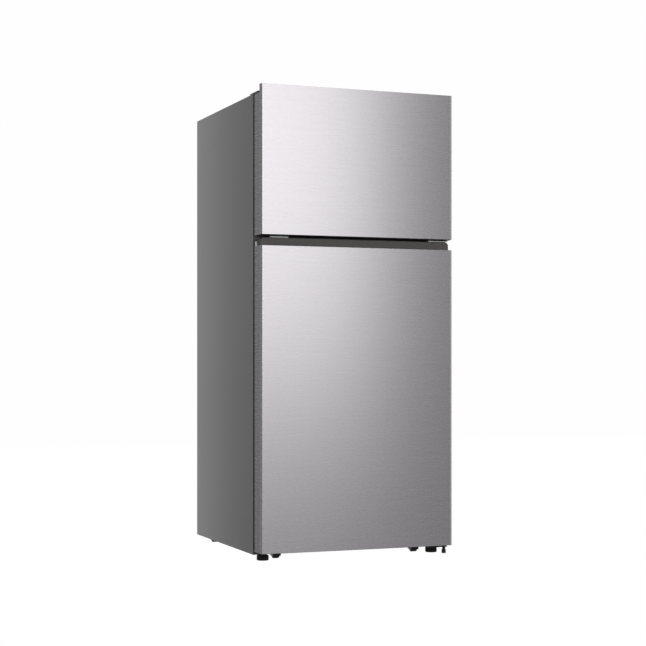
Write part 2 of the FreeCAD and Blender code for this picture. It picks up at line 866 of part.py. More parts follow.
def make_screws():
    """The hexagon-washer screws that hold the hinges, kept together as one set."""
    heads = []
    for across in (10, 36, 62):
        for back in (18, 50):
            start = (f"axis_right - {across}", f"cab_face + {back}", "cab_high + hinge_plate")
            heads.append(rod("z", start, "screw_rise", "screw_head"))
    for level in ("slot_middle + 8", "fridge_low + 4"):
        for across in (28, 50, 72):
            start = (f"face_right - {across}", "cab_face - hinge_plate - screw_rise", level)
            heads.append(rod("y", start, "screw_rise", "screw_head"))
    node("hinge_screws", group(heads))


# --- feet and rollers ----------------------------------------------------------------------


def make_rollers():
    """Four rollers on riveted axles in forks under the base, and two levelling feet."""
    forks = []
    for corner, (side, in_size, back, lift) in ROLLERS.items():
        middle = f"{side} * (face_right - {in_size})"
        half = "(roller_wide / 2 + side_play + fork_wall)"
        level = f"axle_high + {lift}"
        fork = box(
            (f"{middle} - {half}", f"{middle} + {half}"),
            (f"{back} - roller_round / 2 - side_play", f"{back} + roller_round / 2 + side_play"),
            (f"{level} - axle_round", "cab_low + roller_round / 2"),
        )
        gap = box(
            (f"{middle} - roller_wide / 2 - side_play", f"{middle} + roller_wide / 2 + side_play"),
            (f"{back} - roller_round", f"{back} + roller_round"),
            ("0", "cab_low + roller_round / 2 - fork_wall"),
        )
        start = (f"{middle} - {half}", back, level)
        forks.append(fuse([cut(fork, [gap]), rod("x", start, f"2 * {half}", "axle_round / 2")]))
        wheel = revolved(
            "roller_" + corner,
            [
                ("axle_round / 2 + pin_clear", "0"),
                ("roller_round / 2 - 2", "0"),
                ("roller_round / 2", "2"),
                ("roller_round / 2", "roller_wide - 2"),
                ("roller_round / 2 - 2", "roller_wide"),
                ("axle_round / 2 + pin_clear", "roller_wide"),
            ],
            (f"{middle} - roller_wide / 2", back, level),
            "x",
        )
        node("roller_" + corner, wheel)
    node("roller_forks", group(forks))
    for side, hand in ((-1, "left"), (1, "right")):
        foot = revolved(
            "foot_" + hand,
            [
                ("0", "0"),
                ("foot_round / 2 - 2", "0"),
                ("foot_round / 2", "2"),
                ("foot_round / 2", "foot_thick - 2"),
                ("foot_round / 2 - 3", "foot_thick"),
                ("stud_round / 2", "foot_thick"),
                ("stud_round / 2", "cab_low + 16"),
                ("0", "cab_low + 16"),
            ],
            (f"{side} * foot_right", "foot_place", "0"),
        )
        node("levelling_foot_" + hand, foot)


# --- shelves and drawers -------------------------------------------------------------------


def shelf_frame(top, back, thick="shelf_thick"):
    """A plastic shelf rim with a ledge for its glass."""
    outer = box(wide("cavity_right - 2"), ("cab_face + shelf_front", back), (top, f"{top} + {thick}"))
    hole = box(
        wide("cavity_right - 2 - shelf_rim"),
        ("cab_face + shelf_front + shelf_rim", f"{back} - shelf_rim"),
        (f"{top} - 1", f"{top} + {thick} + 1"),
    )
    ledge = box(
        wide("cavity_right - 2 - shelf_rim / 2"),
        ("cab_face + shelf_front + shelf_rim / 2", f"{back} - shelf_rim / 2"),
        (f"{top} + {thick} - glass_thick", f"{top} + {thick} + 1"),
    )
    return cut(outer, [hole, ledge])


def shelf_glass(top, back):
    """The pane that lies in a shelf rim."""
    return box(
        wide("cavity_right - 2 - shelf_rim / 2 - fit_gap"),
        ("cab_face + shelf_front + shelf_rim / 2 + fit_gap", f"{back} - shelf_rim / 2 - fit_gap"),
        (f"{top} + shelf_thick - glass_thick", f"{top} + shelf_thick"),
    )


def make_shelves():
    """Two glass shelves, the crisper cover with its runners, and the freezer's wire shelf."""
    back = "cavity_back - 6"
    tops = ("low_shelf", "high_shelf")
    node("shelf_frames", group([shelf_frame(top, back) for top in tops]))
    node("shelf_panes", group([shelf_glass(top, back) for top in tops + ("crisper_top",)]))

    spine = box(
        wide("shelf_rim / 2"),
        ("cab_face + shelf_front", back),
        ("crisper_top", "crisper_top + shelf_thick - glass_thick"),
    )
    runners = [fuse([shelf_frame("crisper_top", back), spine])]
    low = "crisper_top - runner_drop"
    run = ("rail_back", "crisper_end")
    ledge = (low, f"{low} + lip_plate")
    for side in (-1, 1):
        web = on_side(side, "crisper_out + 2", "crisper_out + 2 + runner_wall")
        outer = on_side(side, "crisper_out + 3.5 - crisper_lip", "crisper_out + 2")
        inner = on_side(side, "runner_wall / 2", "runner_wall / 2 + crisper_lip - 0.5")
        runners.append(box(web, run, (low, "crisper_top")))
        runners.append(box(outer, run, ledge))
        runners.append(box(inner, run, ledge))
    runners.append(box(wide("runner_wall / 2"), run, (low, "crisper_top")))
    node("crisper_cover", group(runners))
    make_freezer_shelf()


def make_freezer_shelf():
    """A wire shelf: fine wires from front to back, welded on three cross wires."""
    level = "freezer_floor + freezer_shelf_up"
    near = "cab_face + shelf_front"
    far = "shelf_back - 6"
    wires = []
    for back in (f"{near} + 4", f"({near} + {far}) / 2", far):
        start = ("-cavity_right + 2", back, f"{level} + wire_round / 2")
        wires.append(rod("x", start, "2 * cavity_right - 4", "wire_round / 2"))
    for index in range(WIRES):
        share = index / (WIRES - 1)
        start = (
            f"-cavity_right + 10 + (2 * cavity_right - 20) * {share}",
            near,
            f"{level} + wire_round * 1.3",
        )
        wires.append(rod("y", start, f"shelf_back - ({near}) - 2", "wire_round / 2"))
    node("freezer_shelf", fuse(wires))


def make_crisper(name, side):
    """A drawer that hangs by its top edges from the runners under the crisper cover."""
    inner, outer = "(runner_wall / 2 + 1.5)", "crisper_out"
    low, high = "fridge_floor + 6", "crisper_top - runner_drop + 3.5 + lip_plate"
    depth = ("rail_back", "crisper_end")
    tub = cut(
        box(on_side(side, f"{inner} + crisper_lip", f"{outer} - crisper_lip"), depth, (low, high)),
        [
            box(
                on_side(
                    side,
                    f"{inner} + crisper_lip + crisper_wall",
                    f"{outer} - crisper_lip - crisper_wall",
                ),
                ("rail_back + crisper_wall", "crisper_end - crisper_wall"),
                (f"{low} + crisper_wall", f"{high} + 1"),
            )
        ],
    )
    pieces = [tub]
    for start, end in ((inner, f"{inner} + crisper_lip"), (f"{outer} - crisper_lip", outer)):
        pieces.append(box(on_side(side, start, end), depth, (f"{high} - lip_plate", high)))
    width = on_side(side, inner, outer)
    face = box(width, ("rail_back - 4", "rail_back"), (low, high))
    pieces.append(rounded(face, "3", front_corners("rail_back - 4")))
    handle = (f"{width[0]} + pull_in", f"{width[1]} - pull_in")
    pieces.append(
        box(
            handle,
            ("rail_back - pull_reach", "rail_back - 4"),
            (f"{high} - pull_drop - 4", f"{high} - pull_drop"),
        )
    )
    node(name, group(pieces))


# --- cold side, machine and controls -------------------------------------------------------


def fan(name, centre, axis):
    """A hub and four pitched blades that turn on a motor shaft."""
    x, y, z = centre
    hub = rod(axis, centre, "16", "hub_round / 2")
    pieces = [hub]
    for index in range(4):
        blade = box(("-9", "9"), ("-blade_thick / 2", "blade_thick / 2"), ("0", "0 + 1"), name + "_blade")
        blade.setExpression("Height", bound("fan_round / 2 - fan_gap - 4"))
        blade.setExpression("Width", bound("blade_thick"))
        pitch = FreeCAD.Rotation(FreeCAD.Vector(0, 0, 1), 35)
        spoke = FreeCAD.Rotation(FreeCAD.Vector(0, 1, 0), 90 * index)
        about = FreeCAD.Rotation(FreeCAD.Vector(0, 0, 1), -90 if axis == "x" else 0)
        turn = about.multiply(spoke).multiply(pitch)
        blade.Placement = FreeCAD.Placement(FreeCAD.Vector(), turn)
        shift = turn.multVec(FreeCAD.Vector(-9, -1, 4))
        along_x, along_y = ("+ 8", "") if axis == "x" else ("", "+ 8")
        place(blade, f"{x} {along_x} + ({shift.x})", f"{y} {along_y} + ({shift.y})", f"{z} + ({shift.z})")
        pieces.append(blade)
    back = {"x": (f"{x} - 1", y, z), "y": (x, f"{y} - 1", z)}[axis]
    node(name, cut(fuse(pieces), [rod(axis, back, "18", "shaft_round / 2 + pin_clear")]))


def make_cold_side():
    """The finned evaporator and its fan behind a vented cover at the back of the freezer."""
    make_evaporator_cover()
    fan("evaporator_fan", ("0", "evaporator_front + 4", "freezer_fan_up"), "y")

    tubes = []
    for row in range(COIL_ROWS):
        for back in ("coil_near", "coil_far"):
            level = f"freezer_floor + coil_up + {row} * coil_pitch"
            start = ("-coil_half", f"evaporator_front + {back}", level)
            tubes.append(rod("x", start, "2 * coil_half", "coil_tube / 2"))
    depth = ("evaporator_front + coil_near - 10", "evaporator_front + coil_far + 12")
    height = ("freezer_floor + coil_up - 12", f"freezer_floor + coil_up + {COIL_ROWS - 1} * coil_pitch + 12")
    fins = []
    for index in range(COIL_FINS):
        middle = f"(coil_half - 10) * {2 * index / (COIL_FINS - 1) - 1}"
        fins.append(box((f"{middle} - fin_thick / 2", f"{middle} + fin_thick / 2"), depth, height))
    node("evaporator_coil", fuse(tubes + fins))
    make_fan_motors()


def make_evaporator_cover():
    """The freezer's rear cover: a fan opening, a row of vents, and a bridge for the fan motor."""
    across = wide("cavity_right - 1")
    plate = ("evaporator_front", "evaporator_front + cover_plate")
    through = ("evaporator_front - 1", "evaporator_front + cover_plate + 1")
    sheet = box(across, plate, ("freezer_floor", "freezer_ceiling"))
    holes = [rod("y", ("0", through[0], "freezer_fan_up"), "cover_plate + 3", "fan_round / 2")]
    for index in range(COLD_VENTS):
        middle = f"{index - (COLD_VENTS - 1) / 2} * vent_pitch"
        sides = (f"{middle} - vent_wide / 2", f"{middle} + vent_wide / 2")
        holes.append(box(sides, through, ("freezer_floor + 20", "freezer_floor + 20 + vent_tall")))
    level = ("freezer_fan_up - bridge_tall / 2", "freezer_fan_up + bridge_tall / 2")
    bridge = box(
        wide("fan_round / 2 + 8"),
        ("evaporator_front + bridge_back - 3", "evaporator_front + bridge_back"),
        level,
    )
    hole_start = ("0", "evaporator_front + bridge_back - 4", "freezer_fan_up")
    pieces = [cut(sheet, holes), cut(bridge, [rod("y", hole_start, "5", "shaft_round / 2 + pin_clear")])]
    for side in (-1, 1):
        post = on_side(side, "fan_round / 2 + 2", "fan_round / 2 + 8")
        pieces.append(box(post, ("evaporator_front + 2", "evaporator_front + bridge_back - 2"), level))
    node("evaporator_cover", fuse(pieces))


def make_fan_motors():
    """The two fan motors, each a drum with its shaft; the lower one stands on a bracket."""
    shaft = "shaft_round / 2"
    back = "evaporator_front + bridge_back"
    drum = rod("y", ("0", back, "freezer_fan_up"), "motor_long", "motor_round / 2")
    axle = rod("y", ("0", "evaporator_front + 3", "freezer_fan_up"), "bridge_back - 2", shaft)
    cooler = rod("x", ("-motor_long - 2", "machine_middle", "cool_fan_up"), "motor_long", "motor_round / 2")
    spindle = rod("x", ("-3", "machine_middle", "cool_fan_up"), "28", shaft)
    stand = box(
        ("-motor_long + 2", "-8"),
        ("machine_middle - 12", "machine_middle + 12"),
        ("cab_low + sheet", "cool_fan_up - 18"),
    )
    node("fan_motors", group([fuse([drum, axle]), fuse([cooler, spindle, stand])]))


def make_machine():
    """Compressor, condenser, its fan, drain pan and the vented cover at the bottom of the back."""
    make_compressor()
    fan("condenser_fan", ("2", "machine_middle", "cool_fan_up"), "x")
    make_condenser()
    make_machine_cover()


def make_compressor():
    """A domed can on a tray with rubber grommets, and its terminal box."""
    centre = ("-compressor_in", "machine_middle", "cab_low + sheet + grommet_tall")
    radius = "compressor_round / 2"
    can = revolved(
        "can",
        [
            ("0", "4"),
            (f"{radius} - 14", "4"),
            (f"{radius}", "20"),
            (f"{radius}", "compressor_tall - 34"),
            (f"{radius} - 12", "compressor_tall - 12"),
            (f"{radius} - 40", "compressor_tall"),
            ("0", "compressor_tall"),
        ],
        centre,
    )
    tray = box(
        (f"-compressor_in - {radius} - 6", f"-compressor_in + {radius} + 6"),
        (f"machine_middle - {radius} + 12", f"machine_middle + {radius} - 12"),
        (centre[2], f"{centre[2]} + 4.5"),
    )
    terminals = box(
        (f"-compressor_in + {radius} - 15", f"-compressor_in + {radius} + 14"),
        ("machine_middle - 26", "machine_middle + 26"),
        ("cab_low + 55", "cab_low + 110"),
    )
    node("compressor", fuse([can, tray, terminals]))
    mounts = []
    for side in (-1, 1):
        for end in (-1, 1):
            across = f"-compressor_in + {side} * ({radius} - 4)"
            back = f"machine_middle + {end} * ({radius} - 26)"
            mounts.append(rod("z", (across, back, "cab_low + sheet"), "grommet_tall", "9"))
    node("compressor_grommets", group(mounts))


def make_condenser():
    """A finned condenser that stands on the rails of its drain pan."""
    low, high = "cab_low + pan_tall", "machine_top - 30"
    tubes = []
    for row in range(CONDENSER_ROWS):
        level = f"{low} + 14 + {row} * (({high}) - ({low}) - 28) / {CONDENSER_ROWS - 1}"
        for back in (-40, 0, 40):
            start = ("coil_start", f"machine_middle + {back}", level)
            tubes.append(rod("x", start, "coil_long", "condenser_tube / 2"))
    plates = []
    for index in range(CONDENSER_FINS):
        middle = f"coil_start + 10 + {index} * (coil_long - 22) / {CONDENSER_FINS - 1}"
        sides = (f"{middle} - 0.6", f"{middle} + 0.6")
        plates.append(box(sides, ("machine_middle - 55", "machine_middle + 55"), (low, high)))
    node("condenser_coil", fuse(tubes + plates))

    across = ("coil_start", "coil_start + coil_long")
    pan = box(across, ("machine_middle - 70", "machine_middle + 70"), ("cab_low + sheet", low))
    well = box(
        (f"{across[0]} + 3", f"{across[1]} - 3"),
        ("machine_middle - 67", "machine_middle + 67"),
        ("cab_low + sheet + 2.5", f"{low} + 1"),
    )
    pieces = [cut(pan, [well])]
    for back in (-30, 30):
        sides = (f"machine_middle + {back} - 3", f"machine_middle + {back} + 3")
        pieces.append(box(across, sides, (f"{low} - 6", low)))
    node("drain_pan", fuse(pieces))


def make_machine_cover():
    """The slotted sheet over the machine space, with the gland for the power cord."""
    plate = box(
        wide("face_right - sheet - fit_gap"),
        ("cover_front", "cover_front + cover_wall"),
        ("cab_low + sheet", "machine_top"),
    )
    holes = []
    for row in range(2):
        low = f"cab_low + 40 + {row} * (slot_tall + 18)"
        for index in range(REAR_SLOTS):
            across = f"slot_edge - face_right + {index} * slot_pitch"
            sides = (across, f"{across} + slot_wide")
            through = ("cover_front - 1", "cover_front + cover_wall + 1")
            holes.append(box(sides, through, (low, f"{low} + slot_tall")))
    holes.append(rod("y", ("gland_right", "cover_front - 2", "gland_up"), "cover_wall + 4", "gland_sleeve"))
    node("machine_cover", cut(plate, holes))

    face = "cover_front + cover_wall"
    collar = rod("y", ("gland_right", face, "gland_up"), "cover_inset - 2", "gland_sleeve + 4")
    sleeve = rod("y", ("gland_right", f"{face} - 8", "gland_up"), "cover_inset", "gland_sleeve")
    channel = rod("y", ("gland_right", f"{face} - 9", "gland_up"), "cover_inset + 12", "gland_bore")
    node("cord_gland", cut(fuse([collar, sleeve]), [channel]))


def make_controls():
    """The ceiling housing in the fridge with its lamp lens and the temperature dial."""
    low = "(fridge_ceiling - housing_tall)"
    near, far = "cab_face + 180", "cab_face + 390"
    outer = box(wide("housing_half"), (near, far), (low, "fridge_ceiling"))
    outer = rounded(outer, "12", lambda middle, along: abs(along.z) > 0.99)
    room = box(
        wide("housing_half - 4"), (f"{near} + 4", f"{far} - 4"), (f"{low} + 3", "fridge_ceiling - 3")
    )
    lamp = box(("-20", "lamp_right"), (f"{near} + 20", f"{far} - 20"), (f"{low} - 1", f"{low} + 4"))
    bore = rod("z", ("-knob_left", "knob_place", f"{low} - 1"), "5", "4 + pin_clear")
    node("control_housing", cut(outer, [room, lamp, bore]))
    pane = box(
        ("-20 + fit_gap", "lamp_right - fit_gap"),
        (f"{near} + 20 + fit_gap", f"{far} - 20 - fit_gap"),
        (low, f"{low} + 3"),
    )
    node("lamp_lens", pane)
    dial = rod("z", ("-knob_left", "knob_place", f"{low} - 14"), "13.5", "knob_round / 2")
    stem = rod("z", ("-knob_left", "knob_place", f"{low} - 2"), "16", "4")
    ridge = box(
        ("-knob_left - 2", "-knob_left + 2"),
        ("knob_place - knob_round / 2 + 3", "knob_place + knob_round / 2 - 3"),
        (f"{low} - 20", f"{low} - 13"),
    )
    node("temperature_knob", fuse([dial, stem, ridge]))


def check_and_write():
    """Refuse a failed object or a bad solid, then write one file per sub-part."""
    DOCUMENT.recompute()
    for item in DOCUMENT.Objects:
        for word in item.State:
            if word in ("Invalid", "Error"):
                raise RuntimeError(f"{item.Label} is {word}")
    for piece in NODES:
        if piece.Shape.isNull() or not piece.Shape.isValid() or not piece.Shape.Solids:
            raise RuntimeError(f"{piece.Label} has no valid solid")
    os.makedirs("parts", exist_ok=True)
    for piece in NODES:
        piece.Shape.exportStep(f"parts/{piece.Label}.step")
    print(len(NODES), "sub-parts written")


fill_sheets()
make_shell()
make_base()
make_liners()
make_freezer_door()
make_fridge_door()
make_hinges()
make_rollers()
make_shelves()
make_crisper("crisper_left", -1)
make_crisper("crisper_right", 1)
make_cold_side()
make_machine()
make_controls()
check_and_write()
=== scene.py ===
"""A free-standing refrigerator with the freezer on top, dressed for a plain studio."""
import logging
import math
from dataclasses import dataclass
from enum import Enum

import bmesh
import bpy
from mathutils import Matrix, Vector


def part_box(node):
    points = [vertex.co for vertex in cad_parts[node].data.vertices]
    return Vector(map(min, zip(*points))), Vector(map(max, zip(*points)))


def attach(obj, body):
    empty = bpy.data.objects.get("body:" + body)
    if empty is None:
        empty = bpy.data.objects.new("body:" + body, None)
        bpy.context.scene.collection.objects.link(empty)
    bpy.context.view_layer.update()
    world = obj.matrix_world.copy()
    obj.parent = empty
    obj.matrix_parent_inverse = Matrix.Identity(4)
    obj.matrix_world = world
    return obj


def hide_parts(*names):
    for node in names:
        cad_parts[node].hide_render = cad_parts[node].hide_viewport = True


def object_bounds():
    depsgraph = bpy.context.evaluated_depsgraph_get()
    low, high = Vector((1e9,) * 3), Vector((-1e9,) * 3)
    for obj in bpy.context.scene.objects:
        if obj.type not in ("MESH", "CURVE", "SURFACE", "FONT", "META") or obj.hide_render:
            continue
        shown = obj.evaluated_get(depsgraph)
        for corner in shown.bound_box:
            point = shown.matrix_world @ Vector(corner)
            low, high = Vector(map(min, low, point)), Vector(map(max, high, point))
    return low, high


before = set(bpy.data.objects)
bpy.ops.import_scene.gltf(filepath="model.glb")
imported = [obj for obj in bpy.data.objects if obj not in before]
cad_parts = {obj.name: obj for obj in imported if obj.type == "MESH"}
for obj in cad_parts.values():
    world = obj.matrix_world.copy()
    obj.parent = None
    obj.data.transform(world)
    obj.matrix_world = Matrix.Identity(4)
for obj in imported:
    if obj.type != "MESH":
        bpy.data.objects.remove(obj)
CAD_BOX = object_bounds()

LOG = logging.getLogger("refrigerator")
DIRECTIONS = ("Across", "Back", "Up")
MM = 0.001
FLUTE = 0.96  # the radius in a flute, as a share of its rim's
Point = tuple[float, float, float]
Pair = tuple[float, float]
Socket = bpy.types.NodeSocket
Tree = bpy.types.NodeTree
Build = bmesh.types.BMesh


class Body(Enum):
    """The moving bodies that a piece can ride on."""

    CABINET = "cabinet"
    FREEZER_DOOR = "freezer_door"
    FRIDGE_DOOR = "fridge_door"
    DAIRY_FLAP = "dairy_flap"
    CRISPER_LEFT = "crisper_left"
    CRISPER_RIGHT = "crisper_right"
    DIAL = "temperature_dial"
    EVAPORATOR_FAN = "evaporator_fan_wheel"
    CONDENSER_FAN = "condenser_fan_wheel"
    ROLLER_FRONT_LEFT = "roller_front_left"
    ROLLER_FRONT_RIGHT = "roller_front_right"
    ROLLER_REAR_LEFT = "roller_rear_left"
    ROLLER_REAR_RIGHT = "roller_rear_right"
    FOOT_LEFT = "foot_left"
    FOOT_RIGHT = "foot_right"


class Axis(Enum):
    """The direction that a turned piece or a row runs in."""

    X = Matrix.Rotation(math.radians(90), 3, "Y")
    Y = Matrix.Rotation(math.radians(-90), 3, "X")
    Z = Matrix.Identity(3)


# --- finishes ------------------------------------------------------------------------------


def reckon(tree: Tree, operation: str, *terms: Socket | float) -> Socket:
    """Add a Math node.

    Args:
        tree: the tree to add it to.
        operation: what it works out.
        terms: its inputs in order, each a socket or a plain number.

    Returns:
        Its output.
    """
    node = tree.nodes.new("ShaderNodeMath")
    node.operation = operation
    for socket, term in zip(node.inputs, terms):
        if isinstance(term, Socket):
            tree.links.new(term, socket)
        else:
            socket.default_value = term
    return node.outputs[0]


def ramp(tree: Tree, source: Socket, start: Pair, end: Pair = (0.0, 1.0), smooth: bool = False) -> Socket:
    """Map one range of a value to another.

    Args:
        tree: the tree to add the node to.
        source: the value.
        start: the value's own two ends.
        end: what they become.
        smooth: ease in and out.

    Returns:
        The mapped value.
    """
    node = tree.nodes.new("ShaderNodeMapRange")
    node.interpolation_type = "SMOOTHSTEP" if smooth else "LINEAR"
    labels = ("From Min", "From Max", "To Min", "To Max")
    for label, value in zip(labels, start + end):
        node.inputs[label].default_value = value
    tree.links.new(source, node.inputs["Value"])
    return node.outputs[0]


def object_axis(tree: Tree, axis: str) -> Socket:
    """One of the object coordinates, by its letter.

    Args:
        tree: the tree to add the nodes to.
        axis: X, Y or Z.

    Returns:
        The coordinate.
    """
    place = tree.nodes.new("ShaderNodeTexCoord")
    split = tree.nodes.new("ShaderNodeSeparateXYZ")
    tree.links.new(place.outputs["Object"], split.inputs[0])
    return split.outputs[axis]


def grain_group() -> Tree:
    """Noise drawn out along each axis by its own scale: brushed lines, or an even speckle.

    Returns:
        A group with inputs Across, Back and Up (repeats per metre) and output Value.
    """
    tree = bpy.data.node_groups.new("drawn_grain", "ShaderNodeTree")
    for label in DIRECTIONS:
        socket = tree.interface.new_socket(name=label, in_out="INPUT", socket_type="NodeSocketFloat")
        socket.default_value = 10
    tree.interface.new_socket(name="Value", in_out="OUTPUT", socket_type="NodeSocketFloat")
    nodes, links = tree.nodes, tree.links
    given, made = nodes.new("NodeGroupInput"), nodes.new("NodeGroupOutput")
    place = nodes.new("ShaderNodeTexCoord")
    scale = nodes.new("ShaderNodeCombineXYZ")
    for socket, label in zip(scale.inputs, DIRECTIONS):
        links.new(given.outputs[label], socket)
    stretch = nodes.new("ShaderNodeVectorMath")
    stretch.operation = "MULTIPLY"
    links.new(place.outputs["Object"], stretch.inputs[0])
    links.new(scale.outputs[0], stretch.inputs[1])
    noise = nodes.new("ShaderNodeTexNoise")
    noise.inputs["Scale"].default_value = 1.0
    noise.inputs["Detail"].default_value = 3.0
    links.new(stretch.outputs[0], noise.inputs["Vector"])
    links.new(reckon(tree, "SUBTRACT", noise.outputs["Fac"], 0.5), made.inputs["Value"])
    return tree


GRAIN = grain_group()


@dataclass(frozen=True)
class Finish:
    """A surface finish: its colour, gloss, grain and bump, all in object space.

    `coarse` and `fine` are repeats per metre along X, Y and Z of the colour variation and of
    the bump; `shift` and `rough_shift` are how far they move the colour and the roughness.
    """

    name: str
    colour: Point
    slot: str
    rough: float = 0.4
    metal: float = 0.0
    coarse: Point = (6.0, 6.0, 6.0)
    fine: Point = (900.0, 900.0, 900.0)
    shift: float = 0.04
    rough_shift: float = 0.06
    bump: float = 0.08
    bump_depth: float = 0.0002
    anisotropy: float = 0.0
    clear: float = 0.0
    alpha: float = 1.0
    coat: float = 0.0
    glow: float = 0.0

    def material(self) -> bpy.types.Material:
        """The finish as a node material, built once.

        Returns:
            The material.
        """
        made = bpy.data.materials.get(self.name)
        return made if made else self.build()

    def build(self) -> bpy.types.Material:
        """Make the node tree.

        Returns:
            The new material.
        """
        material = bpy.data.materials.new(self.name)
        material.use_nodes = True
        tree = material.node_tree
        shader = tree.nodes["Principled BSDF"]
        constants = {
            "Metallic": self.metal, "Anisotropic": self.anisotropy, "Transmission Weight": self.clear,
            "Alpha": self.alpha, "Coat Weight": self.coat, "Coat Roughness": 0.12,
        }
        if self.glow:
            constants |= {"Emission Color": (*self.colour, 1), "Emission Strength": self.glow}
        for label, value in constants.items():
            shader.inputs[label].default_value = value
        wide, close = self.grain(tree, self.coarse), self.grain(tree, self.fine)
        tree.links.new(self.vary_colour(tree, wide, close), shader.inputs["Base Color"])
        rough = reckon(tree, "MULTIPLY_ADD", close, self.rough_shift, self.rough)
        tree.links.new(rough, shader.inputs["Roughness"])
        bump = tree.nodes.new("ShaderNodeBump")
        bump.inputs["Strength"].default_value = self.bump
        bump.inputs["Distance"].default_value = self.bump_depth
        tree.links.new(close, bump.inputs["Height"])
        tree.links.new(bump.outputs[0], shader.inputs["Normal"])
        if self.anisotropy:
            self.brush(tree, shader)
        return material

    def brush(self, tree: Tree, shader: bpy.types.Node) -> None:
        """Draw highlights out upwards, across the level brushing.

        Args:
            tree: the material's tree.
            shader: its Principled shader.
        """
        up = tree.nodes.new("ShaderNodeCombineXYZ")
        up.inputs["Z"].default_value = 1.0
        turn = tree.nodes.new("ShaderNodeVectorTransform")
        turn.vector_type = "VECTOR"
        turn.convert_from = "OBJECT"
        turn.convert_to = "WORLD"
        tree.links.new(up.outputs[0], turn.inputs[0])
        tree.links.new(turn.outputs[0], shader.inputs["Tangent"])

    def grain(self, tree: Tree, scale: Point) -> Socket:
        """Place the shared grain group with these repeats per metre.

        Args:
            tree: the material's tree.
            scale: repeats per metre along X, Y and Z.

        Returns:
            The grain's value.
        """
        group = tree.nodes.new("ShaderNodeGroup")
        group.node_tree = GRAIN
        for label, value in zip(DIRECTIONS, scale):
            group.inputs[label].default_value = value
        return group.outputs["Value"]

    def vary_colour(self, tree: Tree, wide: Socket, close: Socket) -> Socket:
        """Lighten and darken the finish's colour by its wide and close grain.

        Args:
            tree: the material's tree.
            wide: the coarse grain's value.
            close: the fine grain's value.

        Returns:
            The colour.
        """
        level = reckon(tree, "MULTIPLY_ADD", reckon(tree, "ADD", wide, close), self.shift, 1.0)
        tint = tree.nodes.new("ShaderNodeVectorMath")
        tint.operation = "SCALE"
        tint.inputs[0].default_value = self.colour
        tree.links.new(level, tint.inputs["Scale"])
        return tint.outputs[0]


STEEL = Finish(
    "brushed_stainless", (0.615, 0.592, 0.615), "stainless", rough=0.27, metal=1.0, coarse=(7, 7, 190),
    fine=(14, 14, 620), shift=0.06, rough_shift=0.04, bump=0.012, bump_depth=0.00004, anisotropy=0.75,
)
CABINET_GREY = Finish(
    "satin_cabinet_grey", (0.097, 0.087, 0.096), "cabinet_paint", rough=0.42, fine=(700, 700, 700), bump=0.05,
    bump_depth=0.00008, coat=0.5,
)
BARE_SHEET = Finish(
    "galvanised_sheet", (0.42, 0.43, 0.44), "galvanised", rough=0.42, metal=0.85, coarse=(25, 25, 25),
    fine=(160, 160, 160), shift=0.2, rough_shift=0.2,
)
PLATED = Finish(
    "zinc_plated_steel", (0.62, 0.62, 0.62), "hinge_steel", rough=0.34, metal=0.6, coarse=(60, 60, 60)
)
ENAMEL = Finish("black_enamel", (0.012, 0.012, 0.013), "black_metal", rough=0.32, coat=0.3)
FIN_METAL = Finish("bare_aluminium", (0.72, 0.73, 0.74), "aluminium", rough=0.3, metal=1.0)
WHITE_WIRE = Finish("white_coated_wire", (0.84, 0.85, 0.86), "white_wire", rough=0.3, coat=0.4)
FOAM = Finish(
    "rigid_foam", (0.72, 0.6, 0.33), "foam", rough=0.9, fine=(400, 400, 400), bump=0.5, bump_depth=0.0006
)
WHITE = Finish(
    "moulded_white", (0.8, 0.81, 0.82), "white_plastic", rough=0.28, coarse=(4, 4, 4), fine=(500, 500, 500),
    shift=0.02, bump=0.05, coat=0.15,
)
DARK = Finish(
    "moulded_dark_grey", (0.106, 0.095, 0.093), "dark_plastic",
    rough=0.5, fine=(1500, 1500, 1500), shift=0.1, bump=0.2,
)
BLACK = Finish("moulded_black", (0.012, 0.012, 0.012), "black_plastic", rough=0.45, shift=0.2, bump=0.15)
CLEAR = Finish(
    "clear_styrene", (0.9, 0.95, 0.97), "clear_plastic", rough=0.06, clear=0.9, alpha=0.75, shift=0.01,
    rough_shift=0.02, bump=0.01,
)
PANE = Finish(
    "tempered_glass", (0.82, 0.93, 0.9), "glass",
    rough=0.03, clear=1.0, alpha=0.65, shift=0.01, rough_shift=0.01,
    bump=0.0,
)
SEAL = Finish(
    "soft_grey_seal", (0.2, 0.195, 0.2), "gasket_grey", rough=0.6, fine=(1200, 1200, 1200), bump=0.1
)
RUBBER = Finish("black_rubber", (0.015, 0.015, 0.015), "black_rubber", rough=0.75)
LAMP = Finish("lamp_diffuser", (0.95, 0.96, 0.93), "clear_plastic", rough=0.4, glow=0.25)


def door_steel() -> bpy.types.Material:
    """Brushed steel on the front and round its bend, and grey paint along a door's sides.

    Returns:
        The material, built once, that blends the two by the distance behind the front.
    """
    made = bpy.data.materials.get("door_skin")
    if made:
        return made
    material = STEEL.build()
    material.name = "door_skin"
    tree = material.node_tree
    shader = tree.nodes["Principled BSDF"]
    front = CAD_BOX[0][1]
    mask = ramp(tree, object_axis(tree, "Y"), (front + 9.5 * MM, front + 12 * MM))
    steel = shader.inputs["Base Color"].links[0].from_socket
    mix = tree.nodes.new("ShaderNodeMix")
    mix.data_type = "RGBA"
    tree.links.new(mask, mix.inputs["Factor"])
    tree.links.new(steel, mix.inputs[6])
    mix.inputs[7].default_value = (0.2, 0.195, 0.2, 1)
    tree.links.new(mix.outputs[2], shader.inputs["Base Color"])
    tree.links.new(reckon(tree, "MULTIPLY_ADD", mask, -0.75, 1.0), shader.inputs["Metallic"])
    return material


# --- mesh tools ----------------------------------------------------------------------------


